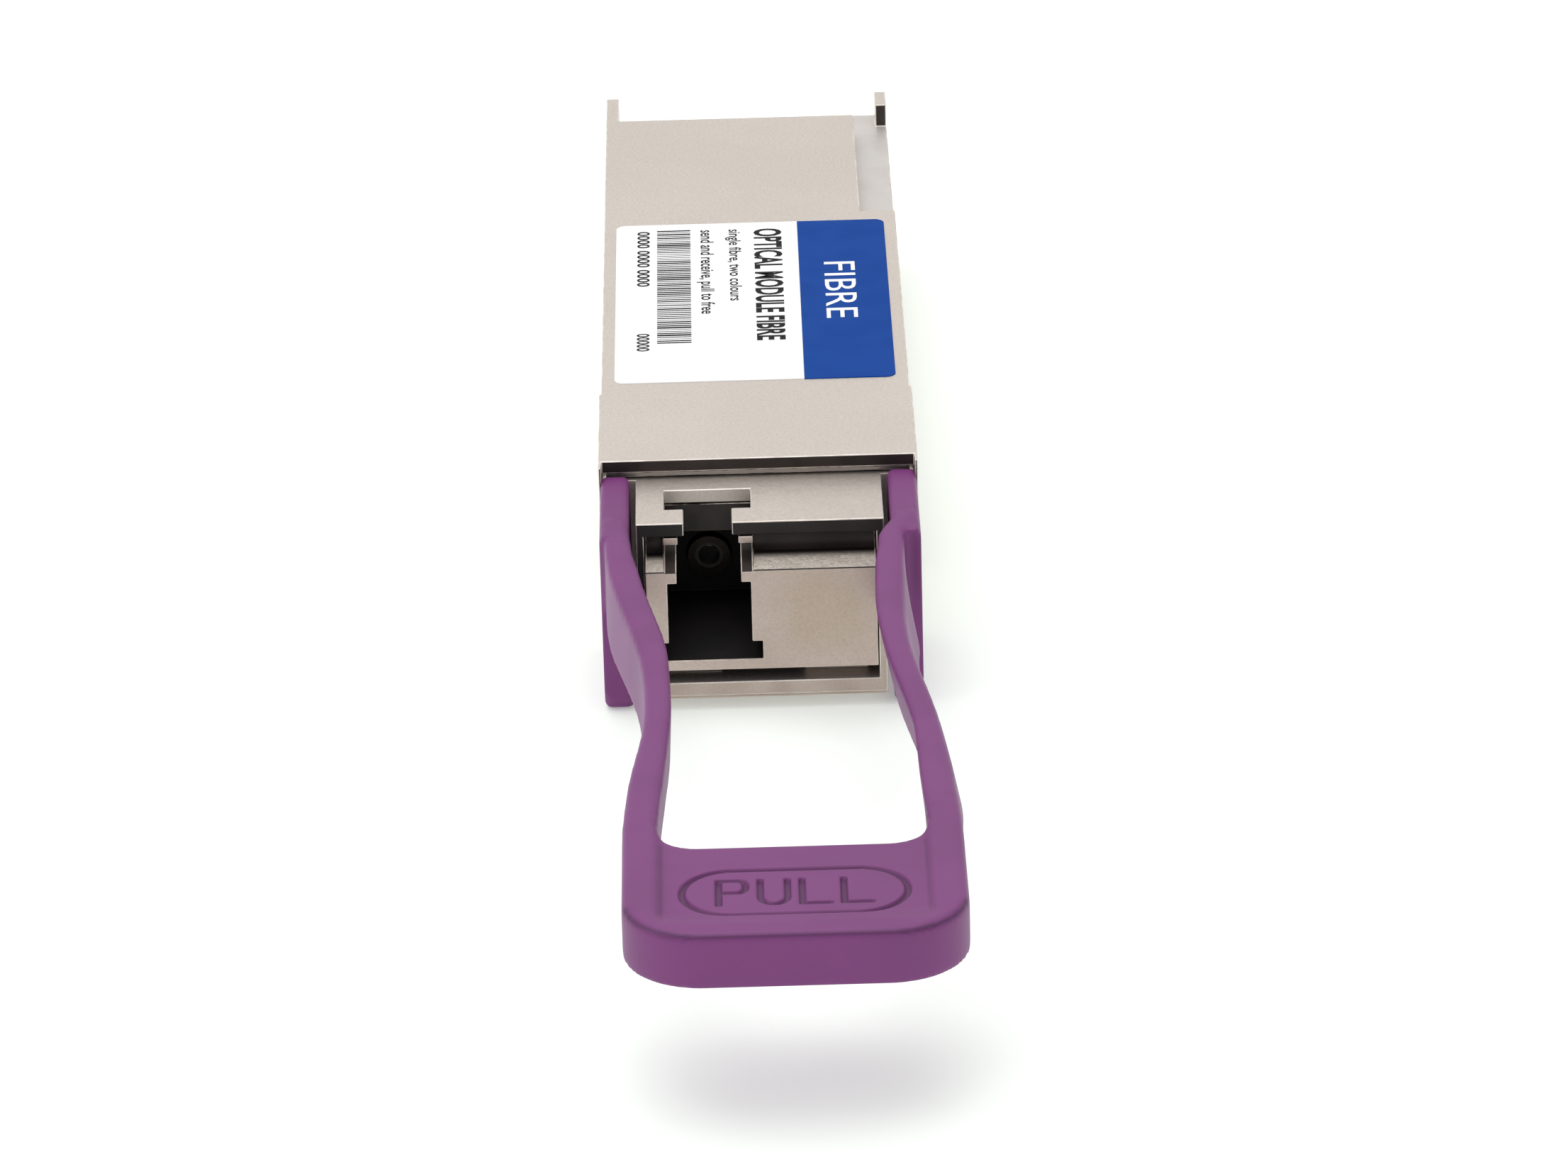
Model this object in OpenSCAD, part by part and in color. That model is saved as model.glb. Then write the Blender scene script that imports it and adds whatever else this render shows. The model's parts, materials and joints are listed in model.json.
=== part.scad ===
// Pluggable optical transceiver module with one fibre port and a soft pull tab.
// +X is to the right, +Y points to the card edge and +Z to the labelled face.
// The origin is the middle of the flat cooling face under the body. Millimetres.

/* [Body] */
// Width of the body that slides into a cage
body_w = 18.35; // [18.2:0.05:22.1]
// Height from the cooling face to the labelled face
body_h = 8.5; // [8.3:0.1:10.3]
// Length from the nose step to the leading edge
body_l = 52.4; // [43:0.1:64]
// Thickness of the body's side walls
side_wall = 1.55; // [1.3:0.05:1.7]
// Thickness of the cooling wall under the electronics
floor_t = 1.4; // [1.2:0.1:1.7]
// Thickness of the labelled wall
lid_t = 1.2; // [1.0:0.05:1.4]
// Height of the cover, from the parting line to the labelled face
cover_h = 2.2; // [2:0.05:2.3]
// Length that the labelled wall stops short of the leading edge
lid_setback = 4.35; // [3:0.05:6]
// Width of the prongs that flank the card edge
prong_w = 0.8; // [0.6:0.05:0.9]

/* [Key slot] */
// Width of the key slot in the rear right edge
key_w = 2.22; // [1.8:0.02:2.4]
// Depth of the key slot below the labelled face
key_d = 1.5; // [1.2:0.05:1.6]
// Length of the key slot, up to the leading edge
key_l = 22.4; // [15:0.1:30]
// Width of the corner tooth beside the key slot
tooth_w = 0.72; // [0.5:0.02:0.8]
// Length of the corner tooth
tooth_l = 2.6; // [1.5:0.1:4]

/* [Nose] */
// Length of the nose in front of the step
nose_l = 20; // [18:0.1:24]
// How far each side of the nose stands proud of the body
nose_proud = 0.125; // [0.1:0.025:0.2]
// How far the nose reaches below the cooling face
nose_drop = 2.75; // [2.3:0.05:3.3]
// Length of the labelled wall over the nose
lid_nose_l = 10.6; // [9.8:0.1:12]
// Thickness of the core's side walls
core_wall = 0.47; // [0.4:0.01:0.6]
// Thickness of the core's floor
core_floor = 1.2; // [0.9:0.05:1.4]
// Step from the labelled face down to the core's roof
roof_drop = 1.2; // [1.1:0.05:1.4]
// Thickness of the core's roof
roof_t = 0.83; // [0.6:0.01:0.9]
// Distance from the port face back to the roof's front edge
roof_setback = 2.65; // [2:0.05:3.5]
// Width of the window over the connector's latch
window_w = 5; // [4:0.1:5.2]
// Length of the window
window_l = 2.85; // [2:0.05:4]
// Length of the narrow slot in front of the window
window_slot_l = 2.15; // [1.5:0.05:3]
// Width of that slot
window_slot_w = 2.77; // [2:0.01:3.4]

/* [Fibre port] */
// Sideways place of the port's axis
port_x = -3; // [-3.4:0.05:3.4]
// Distance of the port's axis below the labelled face
port_drop = 6.25; // [6:0.05:6.5]
// Side of the square opening for the connector body
port_w = 4.8; // [4.6:0.05:5]
// Depth of the square opening
port_depth = 10.2; // [9:0.1:11]
// Thickness of the wall behind the opening
port_back = 0.8; // [0.6:0.1:1.2]
// Width of the neck for the connector's latch
neck_w = 3.7; // [3:0.05:4.2]
// Height of that neck
neck_h = 0.66; // [0.4:0.02:0.8]
// Width of the pocket above the neck
latch_pocket_w = 5.1; // [4.4:0.05:5.4]
// Width of the rib slots beside the opening's lower edge
rib_slot_w = 6; // [5.4:0.05:6.2]
// Height of the rib slots
rib_slot_h = 1.1; // [0.8:0.05:1.4]
// Outer diameter of the barrel that holds the sleeve
barrel_d = 2.5; // [2.3:0.05:3]
// Outer diameter of the ceramic sleeve
sleeve_d = 1.68; // [1.6:0.02:1.9]
// Bore of the ceramic sleeve, for a 1.25 mm ferrule
ferrule_bore_d = 1.26; // [1.25:0.005:1.3]
// Length of the sleeve
sleeve_l = 2.8; // [2.2:0.1:3.2]
// Length of the fibre stub behind the sleeve
stub_l = 1; // [0.6:0.1:1.4]

/* [Optics] */
// Side of the square optical body
optic_w = 4.8; // [4.4:0.1:5]
// Length of the optical body
optic_l = 4; // [4:0.1:4.4]
// Diameter of the light path through the optical body
light_path_d = 0.6; // [0.3:0.1:0.8]
// Diameter of the laser and receiver cans
can_d = 3.8; // [3.2:0.1:3.8]
// Length of each can
can_l = 2.6; // [2:0.1:2.7]
// Thickness of the flexible circuits
flex_t = 0.15; // [0.1:0.01:0.2]
// Width of the flexible circuits
flex_w = 2.8; // [2:0.1:3]

/* [Circuit board] */
// Thickness of the board and its card edge
card_t = 1; // [0.8:0.05:1.2]
// Distance from the labelled face to the board
card_drop = 2.3; // [2.25:0.05:2.4]
// Width of the card edge
card_w = 16.42; // [16:0.02:16.44]
// Contacts on each face of the card edge
contact_count = 19; // [11:1:19]
// Pitch of the contacts
contact_pitch = 0.8; // [0.7:0.05:0.8]
// Width of a contact
contact_w = 0.54; // [0.3:0.02:0.6]
// Side of the signal processor
processor_w = 9; // [7:0.1:9.4]
// Height of the signal processor
processor_h = 1.1; // [0.8:0.05:1.3]
// Thickness of the soft thermal pads
pad_t = 0.6; // [0.4:0.05:1]
// Diameter of the cover screws
screw_d = 1.6; // [1.4:0.1:1.8]

/* [Pull tab] */
// Thickness of the arms beside the nose core
arm_t = 1.7; // [1.6:0.02:2.06]
// Gap between an arm and the nose core
arm_gap = 0.35; // [0.3:0.05:0.5]
// How far the arms reach below the cooling face
arm_drop = 3.3; // [3:0.05:4]
// Step from the labelled face down to the tab's top
tab_drop = 0.7; // [0.5:0.05:1]
// Length of the straps between the port face and the grip
strap_l = 41; // [30:0.5:60]
// Thickness of the straps near the nose
strap_t = 1.5; // [1.3:0.05:1.6]
// Thickness of the straps near the grip
strap_grip_t = 1.8; // [1.5:0.05:2.2]
// Height of the straps at the nose
strap_h = 4.8; // [4:0.1:6]
// Height of the grip, and of the straps where they meet it
grip_h = 3.1; // [2.5:0.1:4]
// How far each strap steps inwards where it leaves its arm
strap_jog = 0.55; // [0.3:0.05:0.6]
// How much closer together each strap then comes at the narrowest place
strap_pinch = 1.08; // [0.4:0.02:2]
// Distance in front of the port face where the straps are narrowest
strap_pinch_y = 17.5; // [12:0.5:24]
// Length of the bend where the straps leave the arms
strap_jog_l = 2.6; // [1.6:0.1:3]
// Sideways set of the soft straps at the grip
tab_sway = 1.2; // [0:0.1:2]
// Sideways set, the other way, where the straps leave the arms
root_sway = 0.34; // [0:0.02:0.4]
// Width of the grip
grip_w = 17.85; // [15:0.05:20]
// Length of the grip
grip_l = 11.5; // [9:0.1:16]
// Radius of the grip's front corners
grip_r = 4.2; // [2:0.1:5.5]
// Depth of the pocket in the grip's top
grip_pocket_d = 0.4; // [0.2:0.05:0.8]
// Width of the rims beside that pocket
grip_rim = 1.65; // [1.2:0.05:2.2]
// Radius of the fillets between the straps and the grip
grip_fillet = 2.2; // [1:0.1:3]
// Length of the engraved ring on the grip
ring_l = 12; // [9:0.1:13]
// Width of that ring
ring_w = 5.6; // [4:0.1:7]
// Width of engraved lines
groove_w = 0.34; // [0.2:0.02:0.5]
// Depth of engraved lines
groove_d = 0.2; // [0.1:0.02:0.3]

/* [Latch] */
// Thickness of the steel slider
slider_t = 0.3; // [0.25:0.05:0.35]
// Height of the slider's legs
leg_h = 4; // [3.4:0.1:4.2]
// Distance that the tab pulls forwards
latch_travel = 2; // [1.2:0.1:2.4]
// Distance from the step back to the end of the latch channels
channel_l = 13.7; // [10:0.1:18]
// Width of the tooth that stops the slider
stop_w = 1.6; // [1:0.1:2.4]
// Outer diameter of the return springs
spring_d = 1.6; // [1.3:0.05:1.7]
// Diameter of the spring wire
spring_wire = 0.28; // [0.2:0.02:0.32]
// Free coils in each return spring
spring_coils = 7; // [5:1:9]

/* [Label] */
// Length of the label
label_l = 26.8; // [18:0.1:26.8]
// Distance from the nose step to the label
label_gap = 1.5; // [1:0.1:4]
// Metal left bare beside the label
label_margin = 0.77; // [0.5:0.01:2]
// Thickness of the label
label_t = 0.08; // [0.05:0.01:0.1]

/* [Clearances] */
// Gap around pieces that slide
slide_gap = 0.1; // [0.05:0.01:0.15]
// Gap around pieces that are only placed
seat_gap = 0.06; // [0.02:0.01:0.08]

/* [Hidden] */
$fn = 48;
eps = 0.01;

// Along Y, from the grip to the card edge
lead_y = body_l / 2;
step_y = -body_l / 2;
face_y = step_y - nose_l;
lid_front_y = step_y - lid_nose_l;
lid_rear_y = lead_y - lid_setback;
roof_front_y = face_y + roof_setback;
window_front_y = roof_front_y + window_slot_l;
window_rear_y = window_front_y + window_l;
port_end_y = face_y + port_depth;
insert_rear_y = port_end_y + port_back;
bay_rear_y = lid_front_y + 4.2;
pit_rear_y = step_y - 0.7;
shoulder_y = lid_front_y - slide_gap;

// Up Z
core_z = -nose_drop;
core_top_z = body_h - roof_drop;
core_inner_z0 = core_z + core_floor;
core_inner_z1 = core_top_z - roof_t;
parting_z = body_h - cover_h;
lid_z = body_h - lid_t;
bay_z = core_top_z + 0.45;
card_z1 = body_h - card_drop;
card_z0 = card_z1 - card_t;
key_z = body_h - key_d;
port_z = body_h - port_drop;
tab_top_z = body_h - tab_drop;

// Across X
half_w = body_w / 2;
nose_half = half_w + nose_proud;
arm_outer = nose_half - 0.1;
arm_inner = arm_outer - arm_t;
arm_mid = (arm_inner + arm_outer) / 2;
core_half = arm_inner - arm_gap;
core_inner = core_half - core_wall;
cavity_half = half_w - side_wall;
cradle_half = can_d / 2 + 1.05;
pit_half = abs(port_x) + cradle_half + seat_gap;
mouth_half = card_w / 2 + seat_gap;
key_x = half_w - key_w;
lip_t = 0.18;

// Port insert
insert_half = core_inner - seat_gap;
insert_z0 = port_z - port_w / 2 - 0.64;
ledge_z = port_z + port_w / 2 + neck_h + 0.09;
ledge_l = roof_setback - 0.05;
ledge_r = 0.8;
gasket_t = 0.5;

// Optics, counted back from the end of the opening
barrel_front_y = port_end_y - 0.55;
optic_y0 = insert_rear_y + 1.2;
optic_y1 = optic_y0 + optic_l;
optic_mid_y = (optic_y0 + optic_y1) / 2;
barrel_rear_y = barrel_front_y + sleeve_l + stub_l + 0.4;
sleeve_y0 = barrel_front_y + 0.2;
laser_end_y = optic_y1 + can_l;
receiver_end_x = port_x + optic_w / 2 + can_l;
cradle_y0 = optic_y1 + 0.6;
cradle_l = 1.4;
cradle_screw_x = can_d / 2 + 0.52;
clamp_h = can_d / 2 + 0.7;
clamp_screw_d = 0.7;

// Board
board_half = cavity_half - 0.12;
board_y0 = step_y + 2.7;
tongue_y = lead_y - 8.7;
card_y1 = lead_y - 0.7;
mouth_y = tongue_y - 0.3;
contact_l = 2.2;
contact_t = 0.05;
flex_rear_y = board_y0 + 1.4;
screw_x = cavity_half - 2.02;
screw_ys = [board_y0 + 3, tongue_y - 3];
post_r = screw_d / 2 + 0.55;
screw_head_d = screw_d + 1.2;
screw_head_h = 0.65;
processor_y = board_y0 + 26.5;
driver_w = 4;
driver_h = 0.9;
driver_x = -2.5;
driver_y = board_y0 + 10;

// Latch
leg_outer = half_w - 0.32;
leg_inner = leg_outer - slider_t;
leg_z0 = 1.4;
leg_z1 = leg_z0 + leg_h;
channel_y1 = step_y + channel_l;
leg_tip_y = channel_y1 - 0.3;
bridge_z = core_top_z + slide_gap;
bridge_y0 = lid_front_y + 0.2;
bridge_y1 = bridge_y0 + 3.6;
stop_x = 3;
stop_y0 = bridge_y0 + 2.4;
stop_y1 = stop_y0 + 0.6;
stop_z = core_top_z - 0.6;
tongue_root_y = face_y + strap_jog_l + 0.6;
spring_x = leg_inner - spring_d / 2 - 0.08;
spring_z = (leg_z0 + leg_z1) / 2;
spring_y0 = step_y - 8.4;
spring_y1 = spring_y0 + 6;
spring_room = spring_d / 2 + slide_gap;

// Tab
arm_rear_y = shoulder_y - 0.1;
grip_rear_y = face_y - strap_l;
grip_front_y = grip_rear_y - grip_l;
grip_z0 = tab_top_z - grip_h;
grip_half = grip_w / 2;
strap_root_x = arm_mid - strap_jog;
strap_pinch_x = strap_root_x - strap_pinch;
strap_grip_x = grip_half - strap_grip_t / 2 - 0.05;
strap_steps = 36;

// A box between two places along each axis
module span(x, y, z) {
    translate([x[0], y[0], z[0]]) cube([x[1] - x[0], y[1] - y[0], z[1] - z[0]]);
}

// A box of the given half width about the middle plane
module wide(half, y, z) {
    span([-half, half], y, z);
}

module both_sides() {
    children();
    mirror([1, 0, 0]) children();
}

// A cylinder along Y
module rod_y(r, x, y, z) {
    translate([x, y[0], z]) rotate([-90, 0, 0]) cylinder(r = r, h = y[1] - y[0]);
}

// A cylinder up Z
module rod_z(r, x, y, z) {
    translate([x, y, z[0]]) cylinder(r = r, h = z[1] - z[0]);
}

// Puts its children at each cover screw
module at_screws() {
    for (side = [-1, 1], y = screw_ys)
        translate([side * screw_x, y, 0]) children();
}

module base_solid() {
    wide(half_w, [step_y - eps, lead_y], [0, parting_z]);
    wide(nose_half, [lid_front_y, step_y], [core_z, parting_z]);
    wide(nose_half, [lid_front_y, bay_rear_y], [core_z, core_top_z]);
    wide(core_half, [face_y, lid_front_y + eps], [core_z, core_top_z]);
}

// Hollow for the port insert, the optics and the electronics
module base_hollow() {
    wide(core_inner, [face_y - 1, insert_rear_y + 0.1], [core_inner_z0, core_inner_z1]);
    wide(pit_half, [insert_rear_y, pit_rear_y], [core_inner_z0, core_inner_z1]);
    wide(pit_half, [bay_rear_y, step_y + 1 + eps], [floor_t, parting_z + 1]);
    wide(cavity_half, [step_y + 1, tongue_y + seat_gap], [floor_t, parting_z + 1]);
    wide(mouth_half, [mouth_y, lead_y + 1], [floor_t, parting_z + 1]);
}

// The roof and the core's upper side walls stop behind the port face
module nose_front_relief() {
    wide(core_half + 1, [face_y - 1, roof_front_y], [tab_top_z - strap_h - 0.25, body_h]);
}

module latch_window() {
    z = [core_inner_z1 - 1, core_top_z + 1];
    span([port_x - window_w / 2, port_x + window_w / 2], [window_front_y, window_rear_y], z);
    span([port_x - window_slot_w / 2, port_x + window_slot_w / 2],
         [roof_front_y - 1, window_front_y + eps], z);
}

// Channels for the slider's legs, with a riser under the bridge's ends
module latch_channels() {
    both_sides() {
        span([leg_inner - 0.06, nose_half + 1], [lid_front_y - 1, channel_y1],
             [leg_z0 - slide_gap, leg_z1 + slide_gap]);
        span([leg_inner - 0.06, nose_half + 1], [lid_front_y - 1, bay_rear_y],
             [leg_z1, core_top_z + 1]);
        span([spring_x - spring_room, leg_inner], [spring_y0, spring_y1 + 0.7],
             [spring_z - spring_room, spring_z + spring_room]);
    }
}

// The slider's stop tooth runs in this slot, as far as the latch travels
module stop_slot() {
    span([stop_x - stop_w / 2 - slide_gap, stop_x + stop_w / 2 + slide_gap],
         [stop_y0 - latch_travel, stop_y1 + slide_gap], [core_inner_z1 - 1, core_top_z + 1]);
}

module pedestal(x, y, w, chip_h) {
    z = [floor_t - eps, card_z0 - chip_h - pad_t];
    span([x - w / 2, x + w / 2], [y - w / 2, y + w / 2], z);
}

module base_shell() {
    color("silver") difference() {
        union() {
            difference() {
                base_solid();
                base_hollow();
            }
            at_screws() cylinder(r = post_r, h = card_z0);
            pedestal(0, processor_y, processor_w, processor_h);
            pedestal(driver_x, driver_y, driver_w, driver_h);
            span([port_x - cradle_half, port_x + cradle_half], [cradle_y0, cradle_y0 + cradle_l],
                 [core_inner_z0 - eps, port_z - 0.05]);
        }
        nose_front_relief();
        latch_window();
        latch_channels();
        stop_slot();
        gasket_grooves();
        at_screws() {
            translate([0, 0, -1]) cylinder(r = screw_d / 2 + seat_gap, h = card_z0 + 2);
            translate([0, 0, -1]) cylinder(r = screw_head_d / 2 + seat_gap, h = 1.8);
        }
        rod_y(can_d / 2 + 0.02, port_x, [cradle_y0 - 1, cradle_y0 + cradle_l + 1], port_z);
        for (side = [-1, 1])
            rod_z(clamp_screw_d / 2, port_x + side * cradle_screw_x, cradle_y0 + cradle_l / 2,
                  [core_inner_z0 + 1, port_z]);
        wide(core_half + 1, [face_y - 1, face_y + 0.4], [core_z - 1, core_z + 0.35]);
    }
}

// The labelled plate with short walls down to the parting line
module cover_solid() {
    wide(half_w, [step_y - eps, lid_rear_y], [parting_z, body_h]);
    wide(nose_half, [bay_rear_y, step_y], [parting_z, body_h]);
    wide(nose_half, [lid_front_y, bay_rear_y + eps], [bay_z, body_h]);
    both_sides() span([nose_half - lip_t, nose_half], [lid_front_y - 1, bay_rear_y - 0.05],
                      [leg_z1 + 0.3, body_h]);
    span([-half_w, -half_w + prong_w], [lid_rear_y - eps, lead_y], [parting_z, body_h]);
    span([key_x - 0.3, half_w], [lid_rear_y - eps, lead_y - 0.3], [parting_z, key_z]);
    span([half_w - tooth_w, half_w], [lead_y - tooth_l, lead_y], [parting_z, body_h]);
}

module cover_hollow() {
    wide(pit_half, [bay_rear_y + 0.8, step_y + 1 + eps], [parting_z - 1, lid_z]);
    wide(pit_half, [bay_rear_y - eps, step_y + 1], [parting_z - 1, card_z1 + 0.35]);
    difference() {
        wide(cavity_half, [step_y + 1, lid_rear_y - 1.2], [parting_z - 1, lid_z]);
        span([key_x - 0.7, half_w], [lead_y - key_l - 0.8, lead_y], [parting_z - 2, body_h]);
    }
    wide(mouth_half, [lid_rear_y - 1.3, lead_y + 1], [parting_z - 1, card_z1 + 0.35]);
}

module key_slot() {
    difference() {
        span([key_x, half_w + 1], [lead_y - key_l, lead_y + 1], [key_z, body_h + 1]);
        span([half_w - tooth_w, half_w + 1], [lead_y - tooth_l, lead_y + 2], [0, body_h + 1]);
    }
}

module cover_shell() {
    color("silver") difference() {
        union() {
            difference() {
                cover_solid();
                cover_hollow();
            }
            at_screws() rod_z(post_r, 0, 0, [card_z1, lid_z + eps]);
        }
        key_slot();
        at_screws() rod_z(screw_d / 2, 0, 0, [card_z1 - 1, lid_z + 0.5]);
    }
}

// The plastic block that guides a fibre connector
module port_insert() {
    cx = port_x;
    color("tan") difference() {
        union() {
            wide(insert_half, [face_y, insert_rear_y], [insert_z0, ledge_z]);
            wide(insert_half, [face_y + ledge_l, insert_rear_y],
                 [insert_z0, core_inner_z1 - seat_gap]);
            both_sides() span([2.4, insert_half - 0.6], [face_y + 1.5, insert_rear_y],
                              [core_inner_z0, insert_z0 + eps]);
        }
        // Concave front above the ledge
        translate([-insert_half - 1, face_y + ledge_l, ledge_z + ledge_r])
            rotate([0, 90, 0]) cylinder(r = ledge_r, h = 2 * insert_half + 2);
        // Opening for the connector body, with its rib slots
        span([cx - port_w / 2, cx + port_w / 2], [face_y - 1, port_end_y],
             [port_z - port_w / 2, port_z + port_w / 2]);
        span([cx - rib_slot_w / 2, cx + rib_slot_w / 2], [face_y - 1, port_end_y - 2],
             [port_z - port_w / 2, port_z - port_w / 2 + rib_slot_h]);
        // Neck and pocket for the connector's latch
        span([cx - neck_w / 2, cx + neck_w / 2], [face_y - 1, window_rear_y],
             [port_z, port_z + port_w / 2 + neck_h + eps]);
        span([cx - latch_pocket_w / 2, cx + latch_pocket_w / 2], [face_y - 1, window_rear_y],
             [port_z + port_w / 2 + neck_h, core_top_z]);
        rod_y(barrel_d / 2 + seat_gap, cx, [port_end_y - 1, insert_rear_y + 1], port_z);
    }
}

// A conductive ring behind the insert
module port_gasket() {
    y = [insert_rear_y, insert_rear_y + gasket_t];
    color("dimgray") difference() {
        wide(pit_half - seat_gap, y, [core_inner_z0 + 0.3, core_inner_z1 - 0.1]);
        rod_y(barrel_d / 2 + 0.5, port_x, [y[0] - 1, y[1] + 1], port_z);
    }
}

module port_barrel() {
    color("lightgray") difference() {
        union() {
            rod_y(barrel_d / 2, port_x, [barrel_front_y, barrel_rear_y], port_z);
            rod_y(barrel_d / 2 + 0.4, port_x, [optic_y0 - 0.5, optic_y0], port_z);
        }
        rod_y(sleeve_d / 2, port_x, [barrel_front_y - 1, barrel_rear_y + 1], port_z);
    }
}

module ferrule_sleeve() {
    color("ivory") difference() {
        rod_y(sleeve_d / 2, port_x, [sleeve_y0, sleeve_y0 + sleeve_l], port_z);
        rod_y(ferrule_bore_d / 2, port_x, [sleeve_y0 - 1, sleeve_y0 + sleeve_l + 1], port_z);
    }
}

// A solid stub that closes the barrel behind the sleeve
module fibre_stub() {
    y0 = sleeve_y0 + sleeve_l;
    color("white") rod_y(sleeve_d / 2, port_x, [y0, y0 + stub_l], port_z);
}

module optical_body() {
    w = optic_w / 2;
    color("gainsboro") difference() {
        span([port_x - w, port_x + w], [optic_y0, optic_y1], [port_z - w, port_z + w]);
        rod_y(barrel_d / 2, port_x, [optic_y0 - 1, barrel_rear_y], port_z);
        rod_y(light_path_d / 2, port_x, [barrel_rear_y - 1, optic_y1 + 1], port_z);
    }
}

// The laser sits on the fibre's axis behind the optical body
module laser_can() {
    color("gold") {
        rod_y(can_d / 2, port_x, [optic_y1, optic_y1 + can_l - 0.6], port_z);
        rod_y(can_d / 2 - 0.25, port_x, [laser_end_y - 0.6 - eps, laser_end_y], port_z);
    }
}

// The receiver looks in from the side
module receiver_can() {
    color("gold") translate([port_x + optic_w / 2, optic_mid_y, port_z]) rotate([0, 90, 0]) {
        cylinder(r = can_d / 2, h = can_l - 0.6);
        translate([0, 0, can_l - 0.6 - eps]) cylinder(r = can_d / 2 - 0.25, h = 0.6 + eps);
    }
}

module optic_clamp() {
    color("silver") difference() {
        span([port_x - cradle_half, port_x + cradle_half], [cradle_y0, cradle_y0 + cradle_l],
             [port_z + 0.05, port_z + clamp_h]);
        rod_y(can_d / 2 + 0.02, port_x, [cradle_y0 - 1, cradle_y0 + cradle_l + 1], port_z);
        for (side = [-1, 1])
            rod_z(clamp_screw_d / 2 + 0.02, port_x + side * cradle_screw_x,
                  cradle_y0 + cradle_l / 2, [port_z, port_z + clamp_h + 1]);
    }
}

module clamp_screws() {
    top = port_z + clamp_h;
    color("dimgray") for (side = [-1, 1]) {
        rod_z(clamp_screw_d / 2, port_x + side * cradle_screw_x, cradle_y0 + cradle_l / 2,
              [core_inner_z0 + 1.1, top + eps]);
        rod_z(clamp_screw_d / 2 + 0.15, port_x + side * cradle_screw_x,
              cradle_y0 + cradle_l / 2, [top, top + 0.35]);
    }
}

// Rises behind the laser and runs back onto the board
module laser_flex() {
    x = [port_x - flex_w / 2, port_x + flex_w / 2];
    color("darkorange") {
        span(x, [laser_end_y, laser_end_y + flex_t], [port_z - 1.4, card_z1 + flex_t]);
        span(x, [laser_end_y, flex_rear_y], [card_z1, card_z1 + flex_t]);
    }
}

module receiver_flex() {
    x0 = receiver_end_x;
    y = optic_mid_y;
    color("darkorange") {
        span([x0, x0 + flex_t], [y - flex_w / 2, y + flex_w / 2],
             [port_z - 1.4, card_z1 + flex_t]);
        span([x0, x0 + flex_w], [y - flex_w / 2, y + flex_w / 2],
             [card_z1, card_z1 + flex_t]);
        span([x0 + 0.2, x0 + flex_w], [y, flex_rear_y], [card_z1, card_z1 + flex_t]);
    }
}

// Outline of the board with its wider card edge
module board_outline() {
    bevel = 0.3;
    polygon([
        [-board_half, board_y0], [board_half, board_y0], [board_half, tongue_y],
        [card_w / 2, tongue_y], [card_w / 2, card_y1 - bevel], [card_w / 2 - bevel, card_y1],
        [-card_w / 2 + bevel, card_y1], [-card_w / 2, card_y1 - bevel],
        [-card_w / 2, tongue_y], [-board_half, tongue_y]
    ]);
}

module main_board() {
    color("darkgreen") difference() {
        translate([0, 0, card_z0]) linear_extrude(card_t) board_outline();
        at_screws() rod_z(screw_d / 2 + 0.1, 0, 0, [card_z0 - 1, card_z1 + 1]);
        // Lead-in bevels on both faces of the card edge
        for (z = [card_z0, card_z1])
            translate([0, card_y1, z]) rotate([45, 0, 0])
                cube([2 * card_w, 0.36, 0.36], center = true);
    }
}

// Every third contact is a longer ground contact
module edge_contacts() {
    color("gold") for (i = [0 : contact_count - 1]) {
        x = (i - (contact_count - 1) / 2) * contact_pitch;
        long = i % 3 == 0 ? 0.5 : 0;
        y = [card_y1 - 0.5 - contact_l - long, card_y1 - 0.5];
        span([x - contact_w / 2, x + contact_w / 2], y, [card_z1, card_z1 + contact_t]);
        span([x - contact_w / 2, x + contact_w / 2], y, [card_z0 - contact_t, card_z0]);
    }
}

// A square package under the board
module chip_below(x, y, w, h) {
    span([x - w / 2, x + w / 2], [y - w / 2, y + w / 2], [card_z0 - h, card_z0]);
}

module chip_above(x, y, size) {
    span([x - size[0] / 2, x + size[0] / 2], [y - size[1] / 2, y + size[1] / 2],
         [card_z1, card_z1 + size[2]]);
}

module pad_below(x, y, w, chip_h) {
    z1 = card_z0 - chip_h;
    span([x - w / 2, x + w / 2], [y - w / 2, y + w / 2], [z1 - pad_t, z1]);
}

module signal_processor() {
    color("dimgray") chip_below(0, processor_y, processor_w, processor_h);
}

module processor_pad() {
    color("lightblue") pad_below(0, processor_y, processor_w - 0.6, processor_h);
}

module laser_driver() {
    color("dimgray") chip_below(driver_x, driver_y, driver_w, driver_h);
}

module driver_pad() {
    color("lightblue") pad_below(driver_x, driver_y, driver_w - 0.4, driver_h);
}

module microcontroller() {
    color("dimgray") chip_above(2.6, board_y0 + 10.5, [5, 5, 0.85]);
}

module crystal() {
    color("silver") chip_above(-3.2, board_y0 + 14, [2.5, 2, 0.6]);
}

module power_inductors() {
    color("gray") for (i = [0 : 2])
        translate([0, 3 * i, 0]) span([2.4, 5], [board_y0 + 9, board_y0 + 11.2],
                                      [card_z0 - 1.2, card_z0]);
}

// Coupling capacitors before the card edge, and supply capacitors
module capacitors() {
    color("tan") {
        for (i = [0 : 7])
            chip_above(-5.6 + 1.6 * i, tongue_y + 0.6, [0.5, 1, 0.3]);
        for (i = [0 : 5])
            chip_above(-3 + 1.2 * i, processor_y - 3, [0.6, 1.1, 0.35]);
    }
}

module resistors() {
    color("black") for (i = [0 : 5])
        chip_above(-5.4, board_y0 + 8 + 1.3 * i, [1, 0.5, 0.3]);
}

// Foam under the cover, above the processor
module absorber_pad() {
    color("dimgray") span([-4, 4], [processor_y - 1.5, processor_y + 5], [lid_z - 0.45, lid_z]);
}

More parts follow.
